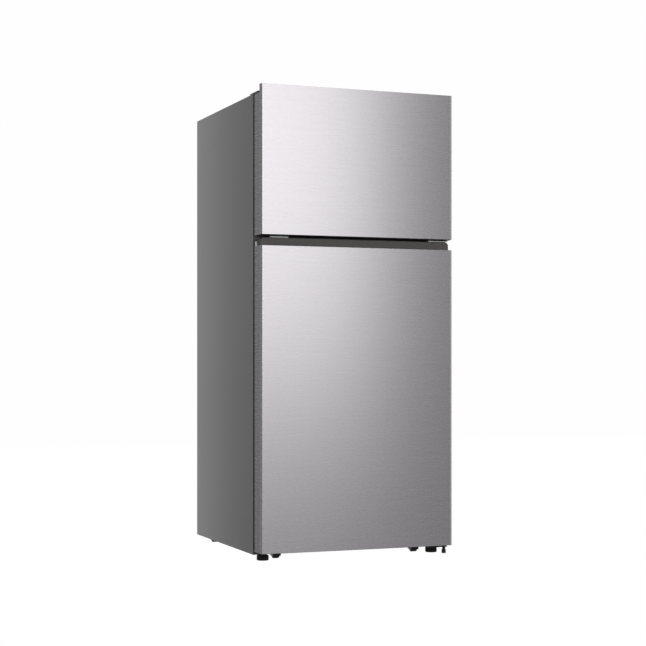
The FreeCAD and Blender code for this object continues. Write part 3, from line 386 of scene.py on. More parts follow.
def finished(
    name: str, mesh: bpy.types.Mesh, finish: Finish, body: Body, nodes: tuple[str, ...] = (),
    sharp: float = 35.0,
) -> bpy.types.Object:
    """Make a piece from a mesh that already lies in its place.

    Args:
        name: the piece's name.
        mesh: its mesh, in metres in the shared frame.
        finish: what it is made of.
        body: what it rides on.
        nodes: the CAD nodes that it stands for.
        sharp: the angle in degrees past which an edge stays sharp.

    Returns:
        The piece.
    """
    piece = bpy.data.objects.new(name, mesh)
    bpy.context.scene.collection.objects.link(piece)
    mesh.materials.clear()
    mesh.materials.append(finish.material())
    mesh.polygons.foreach_set("use_smooth", [True] * len(mesh.polygons))
    mesh.set_sharp_from_angle(angle=math.radians(sharp))
    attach(piece, body.value)
    if nodes:
        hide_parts(*nodes)
    LOG.info("%s: %d faces on %s", name, len(mesh.polygons), body.value)
    return piece


def bevelled(
    piece: bpy.types.Object, width: float, segments: int = 3, angle: float = 40.0
) -> bpy.types.Object:
    """Round a piece's outward sharp edges with a bevel and even its shading.

    Args:
        piece: the piece to round.
        width: the bevel's width in metres.
        segments: the bevel's segments.
        angle: the least angle, in degrees, of an edge that is rounded.

    Returns:
        The same piece.
    """
    mesh = piece.data
    bm = bmesh.new()
    bm.from_mesh(mesh)
    least = math.radians(angle)
    weights = [
        float(len(e.link_faces) == 2 and e.is_convex and e.calc_face_angle(0.0) > least) for e in bm.edges
    ]
    bm.free()
    layer = mesh.attributes.new("bevel_weight_edge", "FLOAT", "EDGE")
    layer.data.foreach_set("value", weights)
    bevel = piece.modifiers.new("rounded_edges", "BEVEL")
    bevel.width = width
    bevel.segments = segments
    bevel.limit_method = "WEIGHT"
    bevel.harden_normals = False
    even = piece.modifiers.new("even_normals", "WEIGHTED_NORMAL")
    even.keep_sharp = False
    return piece


def softened(
    node: str, finish: Finish, body: Body, width: float, segments: int = 2, merge: bool = True
) -> bpy.types.Object:
    """A copy of a CAD node with its edges rounded, which stands for it.

    Args:
        node: the CAD node.
        finish: what it is made of.
        body: what it rides on.
        width: the bevel's width in metres.
        segments: the bevel's segments.
        merge: join level triangles to one face; not for a thin hollow rim, which splits badly.

    Returns:
        The piece.
    """
    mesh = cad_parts[node].data.copy()
    bm = bmesh.new()
    bm.from_mesh(mesh)
    bmesh.ops.remove_doubles(bm, verts=bm.verts, dist=1e-5)
    if merge:
        bmesh.ops.dissolve_limit(bm, angle_limit=math.radians(0.5), verts=bm.verts, edges=bm.edges)
    bm.to_mesh(mesh)
    bm.free()
    piece = finished(node + "_piece", mesh, finish, body, (node,), sharp=60.0)
    return bevelled(piece, width, segments)


def dressed(node: str, finish: Finish) -> None:
    """Give a CAD node that keeps its own shape a finish.

    Args:
        node: the CAD node.
        finish: its finish.
    """
    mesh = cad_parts[node].data
    mesh.materials.clear()
    mesh.materials.append(finish.material())


def to_mesh(name: str, bm: Build) -> bpy.types.Mesh:
    """Close a bmesh into a mesh with its faces pointing outwards.

    Args:
        name: the mesh's name.
        bm: what it is made from.

    Returns:
        The mesh.
    """
    bmesh.ops.remove_doubles(bm, verts=bm.verts, dist=1e-6)
    bmesh.ops.recalc_face_normals(bm, faces=bm.faces)
    mesh = bpy.data.meshes.new(name)
    bm.to_mesh(mesh)
    bm.free()
    return mesh


def add_loops(bm: Build, loops: list[list[Vector]], closed: bool = False) -> None:
    """Skin a run of equal loops; capped at both ends, or joined end to start.

    Args:
        bm: the bmesh to add to.
        loops: loops of the same number of points.
        closed: join the last loop to the first, in place of the caps.
    """
    rings = [[bm.verts.new(point) for point in loop] for loop in loops]
    count = len(rings[0])
    pairs = list(zip(rings, rings[1:])) + ([(rings[-1], rings[0])] if closed else [])
    for near, far in pairs:
        for index in range(count):
            after = (index + 1) % count
            bm.faces.new((near[index], near[after], far[after], far[index]))
    if not closed:
        bm.faces.new(rings[0])
        bm.faces.new(rings[-1])


def rounded_loop(
    low: Point, high: Point, inset: float, radius: float, z: float, steps: int = 6
) -> list[Vector]:
    """A level rectangle with rounded corners.

    Args:
        low: the low corner of the rectangle; its height isn't used.
        high: the high corner.
        inset: how far inside the rectangle the loop runs.
        radius: the corners' radius.
        z: the loop's height.
        steps: the pieces in each corner.

    Returns:
        The loop's points.
    """
    radius = max(radius, 0.2 * MM)
    points = []
    left, right = low[0] + inset + radius, high[0] - inset - radius
    near, far = low[1] + inset + radius, high[1] - inset - radius
    for start, (x, y) in zip((180, 270, 0, 90), ((left, near), (right, near), (right, far), (left, far))):
        for step in range(steps + 1):
            angle = math.radians(start + 90 * step / steps)
            points.append(Vector((x + radius * math.cos(angle), y + radius * math.sin(angle), z)))
    return points


def lathe(name: str, profile: list[Pair], centre: Point, axis: Axis, sides: int = 48) -> bpy.types.Mesh:
    """Turn a (radius, height) outline about an axis through `centre`.

    Args:
        name: the mesh's name.
        profile: the outline from bottom to top, in metres; a bore closes it when it starts off the axis.
        centre: where the outline's zero lies.
        axis: the direction of the height.
        sides: the number of sides.

    Returns:
        The mesh.
    """
    bm = bmesh.new()
    loops = []
    for radius, height in profile:
        loop = []
        for side in range(sides):
            angle = 2 * math.pi * side / sides
            point = axis.value @ Vector((radius * math.cos(angle), radius * math.sin(angle), height))
            loop.append(point + Vector(centre))
        loops.append(loop)
    bored = profile[0][0] > 1e-5 and profile[-1][0] > 1e-5
    add_loops(bm, loops, closed=bored)
    return to_mesh(name, bm)


def fluted(mesh: bpy.types.Mesh, centre: Point, reach: float, steps: int) -> bpy.types.Mesh:
    """Draw every second step of a turned rim a little inwards.

    Args:
        mesh: a mesh turned about an upright axis.
        centre: a point on the axis.
        reach: the least radius that is drawn in.
        steps: the number of steps round the rim.

    Returns:
        The same mesh.
    """
    for vert in mesh.vertices:
        away = Vector((vert.co.x - centre[0], vert.co.y - centre[1]))
        turn = round(math.atan2(away.y, away.x) / (2 * math.pi) * steps)
        if away.length > reach and turn % 2:
            vert.co.x, vert.co.y = centre[0] + away.x * FLUTE, centre[1] + away.y * FLUTE
    return mesh


def upright(loops: list[list[Vector]]) -> list[list[Vector]]:
    """Stand level loops up, so that their height becomes their depth.

    Args:
        loops: the level loops.

    Returns:
        The loops, stood up.
    """
    return [[Vector((p.x, p.z, p.y)) for p in loop] for loop in loops]


def tub(
    name: str, low: Vector, high: Vector, wall: float, radius: float, rim: float, taper: float = 0.0
) -> bpy.types.Mesh:
    """An open box with rounded corners, a rolled rim and a round-edged floor.

    Args:
        name: the mesh's name.
        low: the lowest corner.
        high: the highest corner.
        wall: the wall's thickness.
        radius: the upright corners' radius.
        rim: how far the rim stands out.
        taper: how far the foot of the wall stands in from the rim.

    Returns:
        The mesh.
    """
    bottom, top = low[2], high[2]
    soft = 3 * wall
    outside = [
        (rim + taper + soft, radius, bottom),
        (rim + taper + soft * 0.3, radius, bottom + soft * 0.3),
        (rim + taper, radius, bottom + soft),
        (rim, radius, top - 3 * wall),
        (0.25 * rim, radius, top - 2.6 * wall),
        (0.0, radius, top - 2 * wall),
        (0.0, radius, top - 0.4 * wall),
        (0.4 * wall, radius, top),
    ]
    inside = [
        (rim + wall * 0.6, radius, top),
        (rim + wall, radius - wall, top - 0.5 * wall),
        (rim + taper + wall, radius - wall, bottom + soft),
        (rim + taper + wall + soft * 0.3, radius - wall, bottom + wall + soft * 0.3),
        (rim + taper + wall + soft, radius - wall, bottom + wall),
    ]
    bm = bmesh.new()
    add_loops(bm, [rounded_loop(low, high, inset, r, z) for inset, r, z in outside + inside])
    return to_mesh(name, bm)


def frame_ring(
    name: str, outline: tuple[float, float, float, float], profile: list[Pair], y: float
) -> bpy.types.Mesh:
    """Sweep a section round an upright rectangle with mitred corners.

    Args:
        name: the mesh's name.
        outline: the rectangle's left, right, bottom and top.
        profile: the closed section's (inwards, back) points.
        y: the section's zero along Y.

    Returns:
        The mesh.
    """
    left, right, bottom, top = outline
    corners = ((left, bottom, 1, 1), (right, bottom, -1, 1), (right, top, -1, -1), (left, top, 1, -1))
    loops = [[Vector((x + sx * u, y + v, z + sz * u)) for u, v in profile] for x, z, sx, sz in corners]
    bm = bmesh.new()
    add_loops(bm, loops, closed=True)
    return to_mesh(name, bm)


# --- repeated pieces, by Geometry Nodes ------------------------------------------------------


class Stamp(Enum):
    """What a row repeats."""

    ROD = "GeometryNodeMeshCylinder"
    PLATE = "GeometryNodeMeshCube"


@dataclass
class Row:
    """Equal rods or plates at an even step, made by a node tree with named inputs."""

    name: str
    stamp: Stamp
    count: int
    start: Point
    step: Point
    size: Point
    turn: Point = (0.0, 0.0, 0.0)
    sides: int = 12

    def tree(self, finish: Finish) -> Tree:
        """Build the row's tree: a line of points, a stamp on each, realized and given its material.

        Args:
            finish: the finish to set.

        Returns:
            The node tree.
        """
        tree = bpy.data.node_groups.new(self.name + "_row", "GeometryNodeTree")
        sockets = (
            ("Count", "NodeSocketInt", self.count),
            ("Start", "NodeSocketVector", self.start),
            ("Step", "NodeSocketVector", self.step),
            ("Size", "NodeSocketVector", self.size),
            ("Turn", "NodeSocketVector", self.turn),
        )
        for label, kind, value in sockets:
            socket = tree.interface.new_socket(name=label, in_out="INPUT", socket_type=kind)
            socket.default_value = value
        tree.interface.new_socket(name="Geometry", in_out="OUTPUT", socket_type="NodeSocketGeometry")
        nodes, links = tree.nodes, tree.links
        given, made = nodes.new("NodeGroupInput"), nodes.new("NodeGroupOutput")
        line = nodes.new("GeometryNodeMeshLine")
        links.new(given.outputs["Count"], line.inputs["Count"])
        links.new(given.outputs["Start"], line.inputs["Start Location"])
        links.new(given.outputs["Step"], line.inputs["Offset"])
        shape = nodes.new(self.stamp.value)
        if self.stamp is Stamp.ROD:
            shape.inputs["Vertices"].default_value = self.sides
            parts = nodes.new("ShaderNodeSeparateXYZ")
            links.new(given.outputs["Size"], parts.inputs[0])
            links.new(parts.outputs["X"], shape.inputs["Radius"])
            links.new(parts.outputs["Z"], shape.inputs["Depth"])
        else:
            links.new(given.outputs["Size"], shape.inputs["Size"])
        stamps = nodes.new("GeometryNodeInstanceOnPoints")
        links.new(line.outputs["Mesh"], stamps.inputs["Points"])
        links.new(shape.outputs["Mesh"], stamps.inputs["Instance"])
        links.new(given.outputs["Turn"], stamps.inputs["Rotation"])
        real = nodes.new("GeometryNodeRealizeInstances")
        links.new(stamps.outputs["Instances"], real.inputs["Geometry"])
        paint = nodes.new("GeometryNodeSetMaterial")
        paint.inputs["Material"].default_value = finish.material()
        links.new(real.outputs["Geometry"], paint.inputs["Geometry"])
        links.new(paint.outputs["Geometry"], made.inputs["Geometry"])
        return tree

    def mesh(self, finish: Finish) -> bpy.types.Mesh:
        """Evaluate the tree to a plain mesh.

        Args:
            finish: the row's finish.

        Returns:
            The row's mesh.
        """
        tree = self.tree(finish)
        holder = bpy.data.objects.new(self.name, bpy.data.meshes.new(self.name))
        bpy.context.scene.collection.objects.link(holder)
        modifier = holder.modifiers.new("row", "NODES")
        modifier.node_group = tree
        wanted = {
            "Count": self.count, "Start": self.start, "Step": self.step, "Size": self.size, "Turn": self.turn,
        }
        for item in tree.interface.items_tree:
            if item.in_out == "INPUT" and item.name in wanted:
                modifier[item.identifier] = wanted[item.name]
        bpy.context.view_layer.update()
        graph = bpy.context.evaluated_depsgraph_get()
        mesh = bpy.data.meshes.new_from_object(holder.evaluated_get(graph))
        bpy.data.objects.remove(holder)
        return mesh


def joined(name: str, meshes: list[bpy.types.Mesh]) -> bpy.types.Mesh:
    """Put several meshes in one.

    Args:
        name: the new mesh's name.
        meshes: the meshes to join.

    Returns:
        The joined mesh.
    """
    bm = bmesh.new()
    for mesh in meshes:
        bm.from_mesh(mesh)
    mesh = bpy.data.meshes.new(name)
    bm.to_mesh(mesh)
    bm.free()
    return mesh


# --- sub-assemblies --------------------------------------------------------------------------


@dataclass
class Cabinet:
    """The painted case, its liners, its base and the covers on top."""

    fold: float = 1.5 * MM
    soft: float = 1.0 * MM

    def build(self) -> list[bpy.types.Object]:
        """Make every fixed piece of the case.

        Returns:
            The pieces.
        """
        plan = (
            ("cabinet_shell", CABINET_GREY, self.fold, 3),
            ("back_panel", BARE_SHEET, 0.6 * MM, 2),
            ("mullion_bar", DARK, self.soft, 2),
            ("base_frame", BARE_SHEET, 0.8 * MM, 2),
            ("freezer_liner", WHITE, 2.5 * MM, 3),
            ("fridge_liner", WHITE, 2.5 * MM, 3),
        )
        pieces = [softened(node, finish, Body.CABINET, *edge) for node, finish, *edge in plan]
        for node in ("top_hinge_cover", "top_blank_cover"):
            pieces.append(softened(node, DARK, Body.CABINET, 0.7 * MM, 3, merge=False))
        dressed("cabinet_foam", FOAM)
        return pieces


@dataclass
class Door:
    """One insulated door: steel skin, end caps, foam, liner, magnetic gasket and bins."""

    prefix: str
    body: Body
    bins: tuple[str, ...]
    dyke_low: float
    dyke_high: float
    seal_wide: float = 20 * MM
    panel: float = 2.5 * MM
    dyke_in: float = 61.3 * MM
    dyke: float = 14 * MM
    lug: Pair = (12 * MM, 8 * MM)
    bin_wall: float = 2.2 * MM

    def build(self) -> list[bpy.types.Object]:
        """Make the door's pieces.

        Returns:
            The pieces.
        """
        pieces = [self.skin(), self.gasket()]
        pieces += [
            softened(f"{self.prefix}_{end}_cap", DARK, self.body, 1.0 * MM) for end in ("top", "bottom")
        ]
        pieces.append(self.liner())
        pieces += [self.bin(node) for node in self.bins]
        dressed(f"{self.prefix}_foam", FOAM)
        return pieces

    def skin(self) -> bpy.types.Object:
        """The wrapped steel front.

        Returns:
            The piece.
        """
        piece = softened(f"{self.prefix}_skin", STEEL, self.body, 0.5 * MM)
        piece.data.materials[0] = door_steel()
        return piece

    def liner(self) -> bpy.types.Object:
        """The moulded back: a thin panel, a round-topped dyke that frames the bins, and lugs that carry them.

        Returns:
            The piece.
        """
        node = f"{self.prefix}_liner"
        low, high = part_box(node)
        back = low.y + self.panel
        bm = bmesh.new()
        plate = ((0.6 * MM, low.y), (0.0, low.y + 0.6 * MM), (0.0, back - 0.6 * MM), (0.6 * MM, back))
        loops = [rounded_loop((low.x, low.z, 0), (high.x, high.z, 0), inset, 3 * MM, y) for inset, y in plate]
        add_loops(bm, upright(loops))
        tall, wide = high.y - back, self.dyke
        section = [
            (0, -0.4 * MM), (0.3 * MM, tall * 0.5), (1.2 * MM, tall - 5 * MM), (2.6 * MM, tall - 2 * MM),
        ]
        section += [(4.8 * MM, tall - 0.4 * MM), (7 * MM, tall), (wide - 4.8 * MM, tall - 0.4 * MM)]
        section += [
            (wide - 2.4 * MM, tall - 2 * MM), (wide - 0.9 * MM, tall - 5 * MM), (wide, tall * 0.5),
            (wide, -0.4 * MM),
        ]
        left, right = low.x + self.dyke_in, high.x - self.dyke_in
        ring = frame_ring(node + "_dyke", (left, right, self.dyke_low, self.dyke_high), section, back)
        bm.from_mesh(ring)
        for shelf in self.bins + (("dairy_shelf",) if self.body is Body.FRIDGE_DOOR else ()):
            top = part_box(shelf)[0].z - 0.3 * MM
            for start in (left + wide - 1 * MM, right - wide - self.lug[0] + 1 * MM):
                self.add_lug(bm, start, back, high.y - 6 * MM, top)
        return finished(node + "_piece", to_mesh(node + "_whole", bm), WHITE, self.body, (node,), sharp=50)

    def add_lug(self, bm: Build, start: float, near: float, far: float, top: float) -> None:
        """Add one rounded ledge that carries a bin's end.

        Args:
            bm: the mesh to add to.
            start: the ledge's lowest X.
            near: where it leaves the panel.
            far: where it ends.
            top: its upper face.
        """
        outline = ((2 * MM, top - self.lug[1]), (0.0, top - 6 * MM), (0.0, top - 1 * MM), (1 * MM, top))
        corners = (start, near, 0), (start + self.lug[0], far, 0)
        add_loops(bm, [rounded_loop(*corners, inset, 3 * MM, z) for inset, z in outline])

    def gasket(self) -> bpy.types.Object:
        """The bellows seal round the door's back, with a waist between its root and its magnet.

        Returns:
            The piece.
        """
        node = f"{self.prefix}_gasket"
        low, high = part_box(node)
        depth, wide = high.y - low.y, self.seal_wide
        section = [
            (2, 0), (wide / MM - 2, 0), (wide / MM, 1.2), (wide / MM, 4.0),
            (wide / MM - 3.2, 6.2), (wide / MM - 3.2, 7.2),
            (wide / MM - 0.4, 9.0), (wide / MM - 0.4, depth / MM - 1), (wide / MM - 1.4, depth / MM),
            (1.4, depth / MM), (0.4, depth / MM - 1), (0.4, 9.0), (3.2, 7.2), (3.2, 6.2), (0, 4.0), (0, 1.2),
        ]
        profile = [(u * MM, v * MM) for u, v in section]
        mesh = frame_ring(node + "_ring", (low.x, high.x, low.z, high.z), profile, low.y)
        return finished(node + "_piece", mesh, SEAL, self.body, (node,), sharp=50)

    def bin(self, node: str) -> bpy.types.Object:
        """A clear moulded bin with a rolled rim.

        Args:
            node: the bin's CAD node.

        Returns:
            The piece.
        """
        low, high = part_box(node)
        mesh = tub(node + "_tub", low, high, self.bin_wall, 14 * MM, 2.0 * MM, 3 * MM)
        return finished(node + "_piece", mesh, CLEAR, self.body, (node,))


@dataclass
class Dairy:
    """The small shelf in the door with its lifting cover."""

    def build(self) -> list[bpy.types.Object]:
        """Make the shelf and its flap.

        Returns:
            The pieces.
        """
        shelf = softened("dairy_shelf", WHITE, Body.FRIDGE_DOOR, 1.5 * MM, 3)
        flap = softened("dairy_flap", CLEAR, Body.DAIRY_FLAP, 1.0 * MM, 2)
        return [shelf, flap]


@dataclass
class Hinges:
    """The three hinges, two plated and the bottom one enamelled, the door stop and their screws."""

    head: float = 5.0 * MM

    def build(self) -> list[bpy.types.Object]:
        """Make the hinges and the screws.

        Returns:
            The pieces.
        """
        pieces = [softened(node, PLATED, Body.CABINET, 0.8 * MM) for node in ("top_hinge", "middle_hinge")]
        pieces.append(softened("bottom_hinge", ENAMEL, Body.CABINET, 0.8 * MM))
        pieces.append(softened("freezer_door_stop", PLATED, Body.FREEZER_DOOR, 0.6 * MM))
        pieces.append(self.screws())
        return pieces

    def screws(self) -> bpy.types.Object:
        """Hexagon heads on flanges, one on each CAD screw.

        Returns:
            The piece.
        """
        meshes = []
        for index, (low, high) in enumerate(islands("hinge_screws")):
            middle = (low + high) / 2
            size = high - low
            axis = Axis.Z if size.z < size.y else Axis.Y
            radius = max(size.x, size.y) / 2
            rise = min(size)
            if axis is Axis.Z:
                start = Vector((middle.x, middle.y, low.z))
            else:
                start = Vector((middle.x, high.y, middle.z))
            reach = rise if axis is Axis.Z else -rise
            washer = [
                (0, 0), (radius, 0), (radius, 0.2 * reach), (0.8 * radius, 0.32 * reach), (0, 0.32 * reach),
            ]
            hexagon = [
                (0, 0.3 * reach), (0.62 * radius, 0.3 * reach), (0.62 * radius, 0.9 * reach),
                (0.5 * radius, reach), (0, reach),
            ]
            meshes.append(lathe(f"washer_{index}", washer, start, axis, 24))
            meshes.append(lathe(f"hexagon_{index}", hexagon, start, axis, 6))
        mesh = joined("hinge_screw_heads", meshes)
        return finished("hinge_screws_piece", mesh, PLATED, Body.CABINET, ("hinge_screws",))


@dataclass
class Underside:
    """Roller forks, grooved rollers and knurled levelling feet."""

    disc_tall: float = 19 * MM
    thread: float = 1.2 * MM

    def build(self) -> list[bpy.types.Object]:
        """Make the forks, the rollers and the feet.

        Returns:
            The pieces.
        """
        pieces = [softened("roller_forks", ENAMEL, Body.CABINET, 0.6 * MM)]
        rollers = (
            Body.ROLLER_FRONT_LEFT, Body.ROLLER_FRONT_RIGHT, Body.ROLLER_REAR_LEFT, Body.ROLLER_REAR_RIGHT,
        )
        pieces += [self.roller(body) for body in rollers]
        pieces += [self.foot(body, "levelling_" + body.value) for body in (Body.FOOT_LEFT, Body.FOOT_RIGHT)]
        return pieces

    def roller(self, body: Body) -> bpy.types.Object:
        """A grooved roller on its axle.

        Args:
            body: the roller's body, which has its CAD node's name.

        Returns:
            The piece.
        """
        node = body.value
        low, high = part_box(node)
        radius, wide = (high.z - low.z) / 2, high.x - low.x
        half = [(0.30, 0.5), (0.82, 0.5), (0.86, 0.44), (0.94, 0.44), (1.0, 0.36)]
        outline = [(r, -h) for r, h in half] + half[::-1]
        profile = [(r * radius, h * wide) for r, h in outline]
        mesh = lathe(node + "_tyre", profile, tuple((low + high) / 2), Axis.X)
        return finished(node + "_piece", mesh, BLACK, body, (node,), sharp=30)

    def foot(self, body: Body, node: str) -> bpy.types.Object:
        """A foot with a knurled rim on a threaded stud.

        Args:
            body: the foot's body.
            node: the CAD node that it stands for.

        Returns:
            The piece.
        """
        low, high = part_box(node)
        radius, tall = (high.x - low.x) / 2, high.z - low.z
        centre = ((low.x + high.x) / 2, (low.y + high.y) / 2, low.z)
        disc = [(0, 0), (0.9, 0), (0.97, 1.0), (1.0, 2.6), (1.0, 15.5), (0.97, 17.6), (0.86, 18.8), (0, 19)]
        profile = [(r * radius, h * MM) for r, h in disc]
        turned = lathe(node + "_disc", profile, centre, Axis.Z, 96)
        rim = fluted(turned, centre, 0.93 * radius, 96)
        stud = self.stud_radius(node, low, high)
        root = stud * 0.86
        outline = [(0, self.disc_tall - 0.5 * MM)]
        height = self.disc_tall
        while height < tall - self.thread:
            outline += [(stud, height), (root, height + self.thread / 2)]
            height += self.thread
        outline += [(root, tall), (0, tall)]
        mesh = joined(node + "_whole", [rim, lathe(node + "_stud", outline, centre, Axis.Z, 32)])
        return finished(node + "_piece", mesh, RUBBER, body, (node,), sharp=30)

    def stud_radius(self, node: str, low: Vector, high: Vector) -> float:
        """The radius of the stud at the foot's top.

        Args:
            node: the CAD node.
            low: its lowest corner.
            high: its highest corner.

        Returns:
            The radius in metres.
        """
        middle = (low + high) / 2
        tops = [v.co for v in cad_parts[node].data.vertices if v.co.z > high.z - 0.5 * MM]
        return max(math.hypot(p.x - middle.x, p.y - middle.y) for p in tops)


@dataclass
class Interior:
    """Shelves, drawers, lamp and controls."""

    wire: float = 1.5 * MM

    def build(self) -> list[bpy.types.Object]:
        """Make the fittings inside the two compartments.

        Returns:
            The pieces.
        """
        pieces = [softened("shelf_frames", WHITE, Body.CABINET, 1.5 * MM, 3)]
        pieces.append(softened("shelf_panes", PANE, Body.CABINET, 0.5 * MM))
        pieces.append(softened("crisper_cover", WHITE, Body.CABINET, 1.2 * MM, 3))
        pieces.append(self.freezer_shelf())
        pieces.append(softened("control_housing", WHITE, Body.CABINET, 1.5 * MM, 3))
        pieces.append(softened("lamp_lens", LAMP, Body.CABINET, 0.5 * MM))
        pieces += [self.crisper(node) for node in ("crisper_left", "crisper_right")]
        pieces += [self.dial(), self.marks()]
        return pieces

    def freezer_shelf(self) -> bpy.types.Object:
        """A coated wire shelf: fine wires front to back on stouter cross rods.

        Returns:
            The piece.
        """
        node = "freezer_shelf"
        low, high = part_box(node)
        stout = 3.0 * MM
        count = 27
        inset = 6 * MM
        pitch = (high.x - low.x - 2 * inset) / (count - 1)
        middle = (low + high) / 2
        fine = Row(
            "fine_wires", Stamp.ROD, count, (low.x + inset, middle.y, high.z - self.wire), (pitch, 0, 0),
            (self.wire, 0, high.y - low.y - 4 * MM), (math.radians(90), 0, 0),
        )
        gap = (high.y - low.y - 2 * inset) / 4
        cross = Row(
            "cross_rods", Stamp.ROD, 5, (middle.x, low.y + inset, low.z + stout), (0, gap, 0),
            (stout, 0, high.x - low.x), (0, math.radians(90), 0),
        )
        mesh = joined("freezer_shelf_wires", [fine.mesh(WHITE_WIRE), cross.mesh(WHITE_WIRE)])
        return finished(node + "_piece", mesh, WHITE_WIRE, Body.CABINET, (node,))

    def crisper(self, node: str) -> bpy.types.Object:
        """A clear drawer with a thick pull front.

        Args:
            node: the drawer's CAD node.

        Returns:
            The piece.
        """
        low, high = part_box(node)
        body = Body(node)
        tray_low = low + Vector((0, 10 * MM, 0))
        tray = tub(node + "_tray", tray_low, high, 2.5 * MM, 16 * MM, 7.2 * MM, 6 * MM)
        bm = bmesh.new()
        bm.from_mesh(tray)
        face = [
            rounded_loop((low.x, low.z, 0), (high.x, high.z, 0), inset, 10 * MM, low.y + depth)
            for inset, depth in ((2 * MM, 0), (0, 2 * MM), (0, 10 * MM), (2 * MM, 12 * MM))
        ]
        add_loops(bm, upright(face))
        return finished(node + "_piece", to_mesh(node + "_drawer", bm), CLEAR, body, (node,))

    def dial(self) -> bpy.types.Object:
        """A turned knob with a fluted rim and a grip across its face.

        Returns:
            The piece.
        """
        node = "temperature_knob"
        low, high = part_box(node)
        centre = ((low.x + high.x) / 2, (low.y + high.y) / 2, low.z)
        radius = (high.x - low.x) / 2
        outline = [
            (0, 6), (0.9, 6), (0.97, 6.6), (1.0, 8), (1.0, 17.5), (0.96, 19.4),
            (0.19, 19.5), (0.19, 34), (0, 34),
        ]
        profile = [(r * radius, h * MM) for r, h in outline]
        bm = bmesh.new()
        turned = lathe(node + "_turned", profile, centre, Axis.Z, 72)
        bm.from_mesh(fluted(turned, centre, 0.95 * radius, 72))
        grip = [
            rounded_loop(
                (centre[0] - 2.4 * MM, low.y + 3 * MM, 0), (centre[0] + 2.4 * MM, high.y - 3 * MM, 0),
                inset, 2 * MM, z,
            )
            for inset, z in ((0.6 * MM, low.z), (0.0, low.z + 1 * MM), (-0.6 * MM, low.z + 7 * MM))
        ]
        add_loops(bm, grip)
        return finished(node + "_piece", to_mesh(node + "_whole", bm), WHITE, Body.DIAL, (node,))

    def marks(self) -> bpy.types.Object:
        """Seven raised marks round the dial that grow from low to high.

        Returns:
            The piece.
        """
        low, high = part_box("temperature_knob")
        centre = (low + high) / 2
        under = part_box("control_housing")[0].z
        bm = bmesh.new()
        for index in range(7):
            angle = math.radians(-135 + 45 * index - 90)
            long = (2.0 + 0.55 * index) * MM
            near = (high.x - low.x) / 2 + 3 * MM
            along = Vector((math.cos(angle), math.sin(angle), 0))
            aside = Vector((-along.y, along.x, 0)) * 0.6 * MM
            ring = []
            for depth in (0.3 * MM, -0.4 * MM):
                base = Vector((centre.x, centre.y, under + depth))
                ring.append([base + along * r + side for r, side in (
                    (near, -aside), (near + long, -aside), (near + long, aside), (near, aside))])
            add_loops(bm, ring)
        return finished("dial_marks", to_mesh("dial_marks", bm), DARK, Body.CABINET)


@dataclass
class Fan:
    """An axial fan wheel: a domed hub and swept blades that thin towards their tips."""

    node: str
    body: Body
    finish: Finish
    axis: Axis
    blades: int = 4
    pitch: float = 34.0

    def build(self) -> bpy.types.Object:
        """Make the wheel inside its CAD node's bounds.

        Returns:
            The piece.
        """
        low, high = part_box(self.node)
        centre = (low + high) / 2
        size = high - low
        radius, deep = size.z / 2, min(size)
        hub = radius * 0.35
        along = self.axis.value @ Vector((0, 0, 1))
        bore, half = 2.7 * MM, deep / 2
        outline = [
            (bore, -half), (hub * 0.8, -half), (hub, -half * 0.7), (hub, half * 0.9), (hub * 0.95, half),
            (bore, half),
        ]
        bm = bmesh.new()
        bm.from_mesh(lathe(self.node + "_hub", outline, tuple(centre), self.axis, 48))
        for index in range(self.blades):
            self.blade(bm, centre, along, hub, radius, deep, 2 * math.pi * index / self.blades)
        mesh = to_mesh(self.node + "_wheel", bm)
        return finished(self.node + "_piece", mesh, self.finish, self.body, (self.node,))

    def blade(
        self, bm: Build, centre: Vector, along: Vector, hub: float, radius: float, deep: float, turn: float
    ) -> None:
        """Add one blade from the hub to its rounded tip.

        Args:
            bm: the mesh to add it to.
            centre: the wheel's middle.
            along: the wheel's axis.
            hub: the hub's radius in metres.
            radius: the wheel's radius in metres.
            deep: the wheel's depth in metres.
            turn: the blade's angle round the axis in radians.
        """
        loops = []
        steps = 8
        for step in range(steps + 1):
            share = step / steps
            reach = hub * 0.93 + (radius * 0.985 - hub * 0.93) * share
            chord = (0.62 + 0.5 * share) * deep * (1 if share < 0.9 else 0.8)
            thick = (1.0 - 0.5 * share) * MM
            tilt = math.radians(self.pitch + 14 * share)
            angle = turn + 0.3 * share
            out = Matrix.Rotation(angle, 3, along) @ Vector((0, 0, 1))
            tangent = along.cross(out)
            lean = tangent * math.sin(tilt) + along * math.cos(tilt)
            face = out.cross(lean)
            loops.append([
                centre + out * reach + lean * chord * u / 2 + face * thick * v
                for u, v in (
                    (-1, 0.2), (-0.4, 0.8), (0.4, 0.8), (1, 0.2),
                    (1, -0.2), (0.4, -0.8), (-0.4, -0.8), (-1, -0.2),
                )
            ])
        limit = deep / 2
        for loop in loops:
            for point in loop:
                over = (point - centre).dot(along)
                point -= along * (over - max(-limit, min(limit, over)))
        add_loops(bm, loops)


@dataclass
class ColdSide:
    """Evaporator, its cover and both fans."""

    fins: int = 72

    def build(self) -> list[bpy.types.Object]:
        """Make the cover, the finned coil, the motors and the fan wheels.

        Returns:
            The pieces.
        """
        pieces = [softened("evaporator_cover", WHITE, Body.CABINET, 0.8 * MM)]
        pieces += Coil("evaporator_coil", FIN_METAL, self.fins, 4 * MM).build()
        pieces.append(softened("fan_motors", BLACK, Body.CABINET, 1.2 * MM))
        pieces.append(Fan("evaporator_fan", Body.EVAPORATOR_FAN, BLACK, Axis.Y).build())
        pieces.append(Fan("condenser_fan", Body.CONDENSER_FAN, BLACK, Axis.X).build())
        return pieces


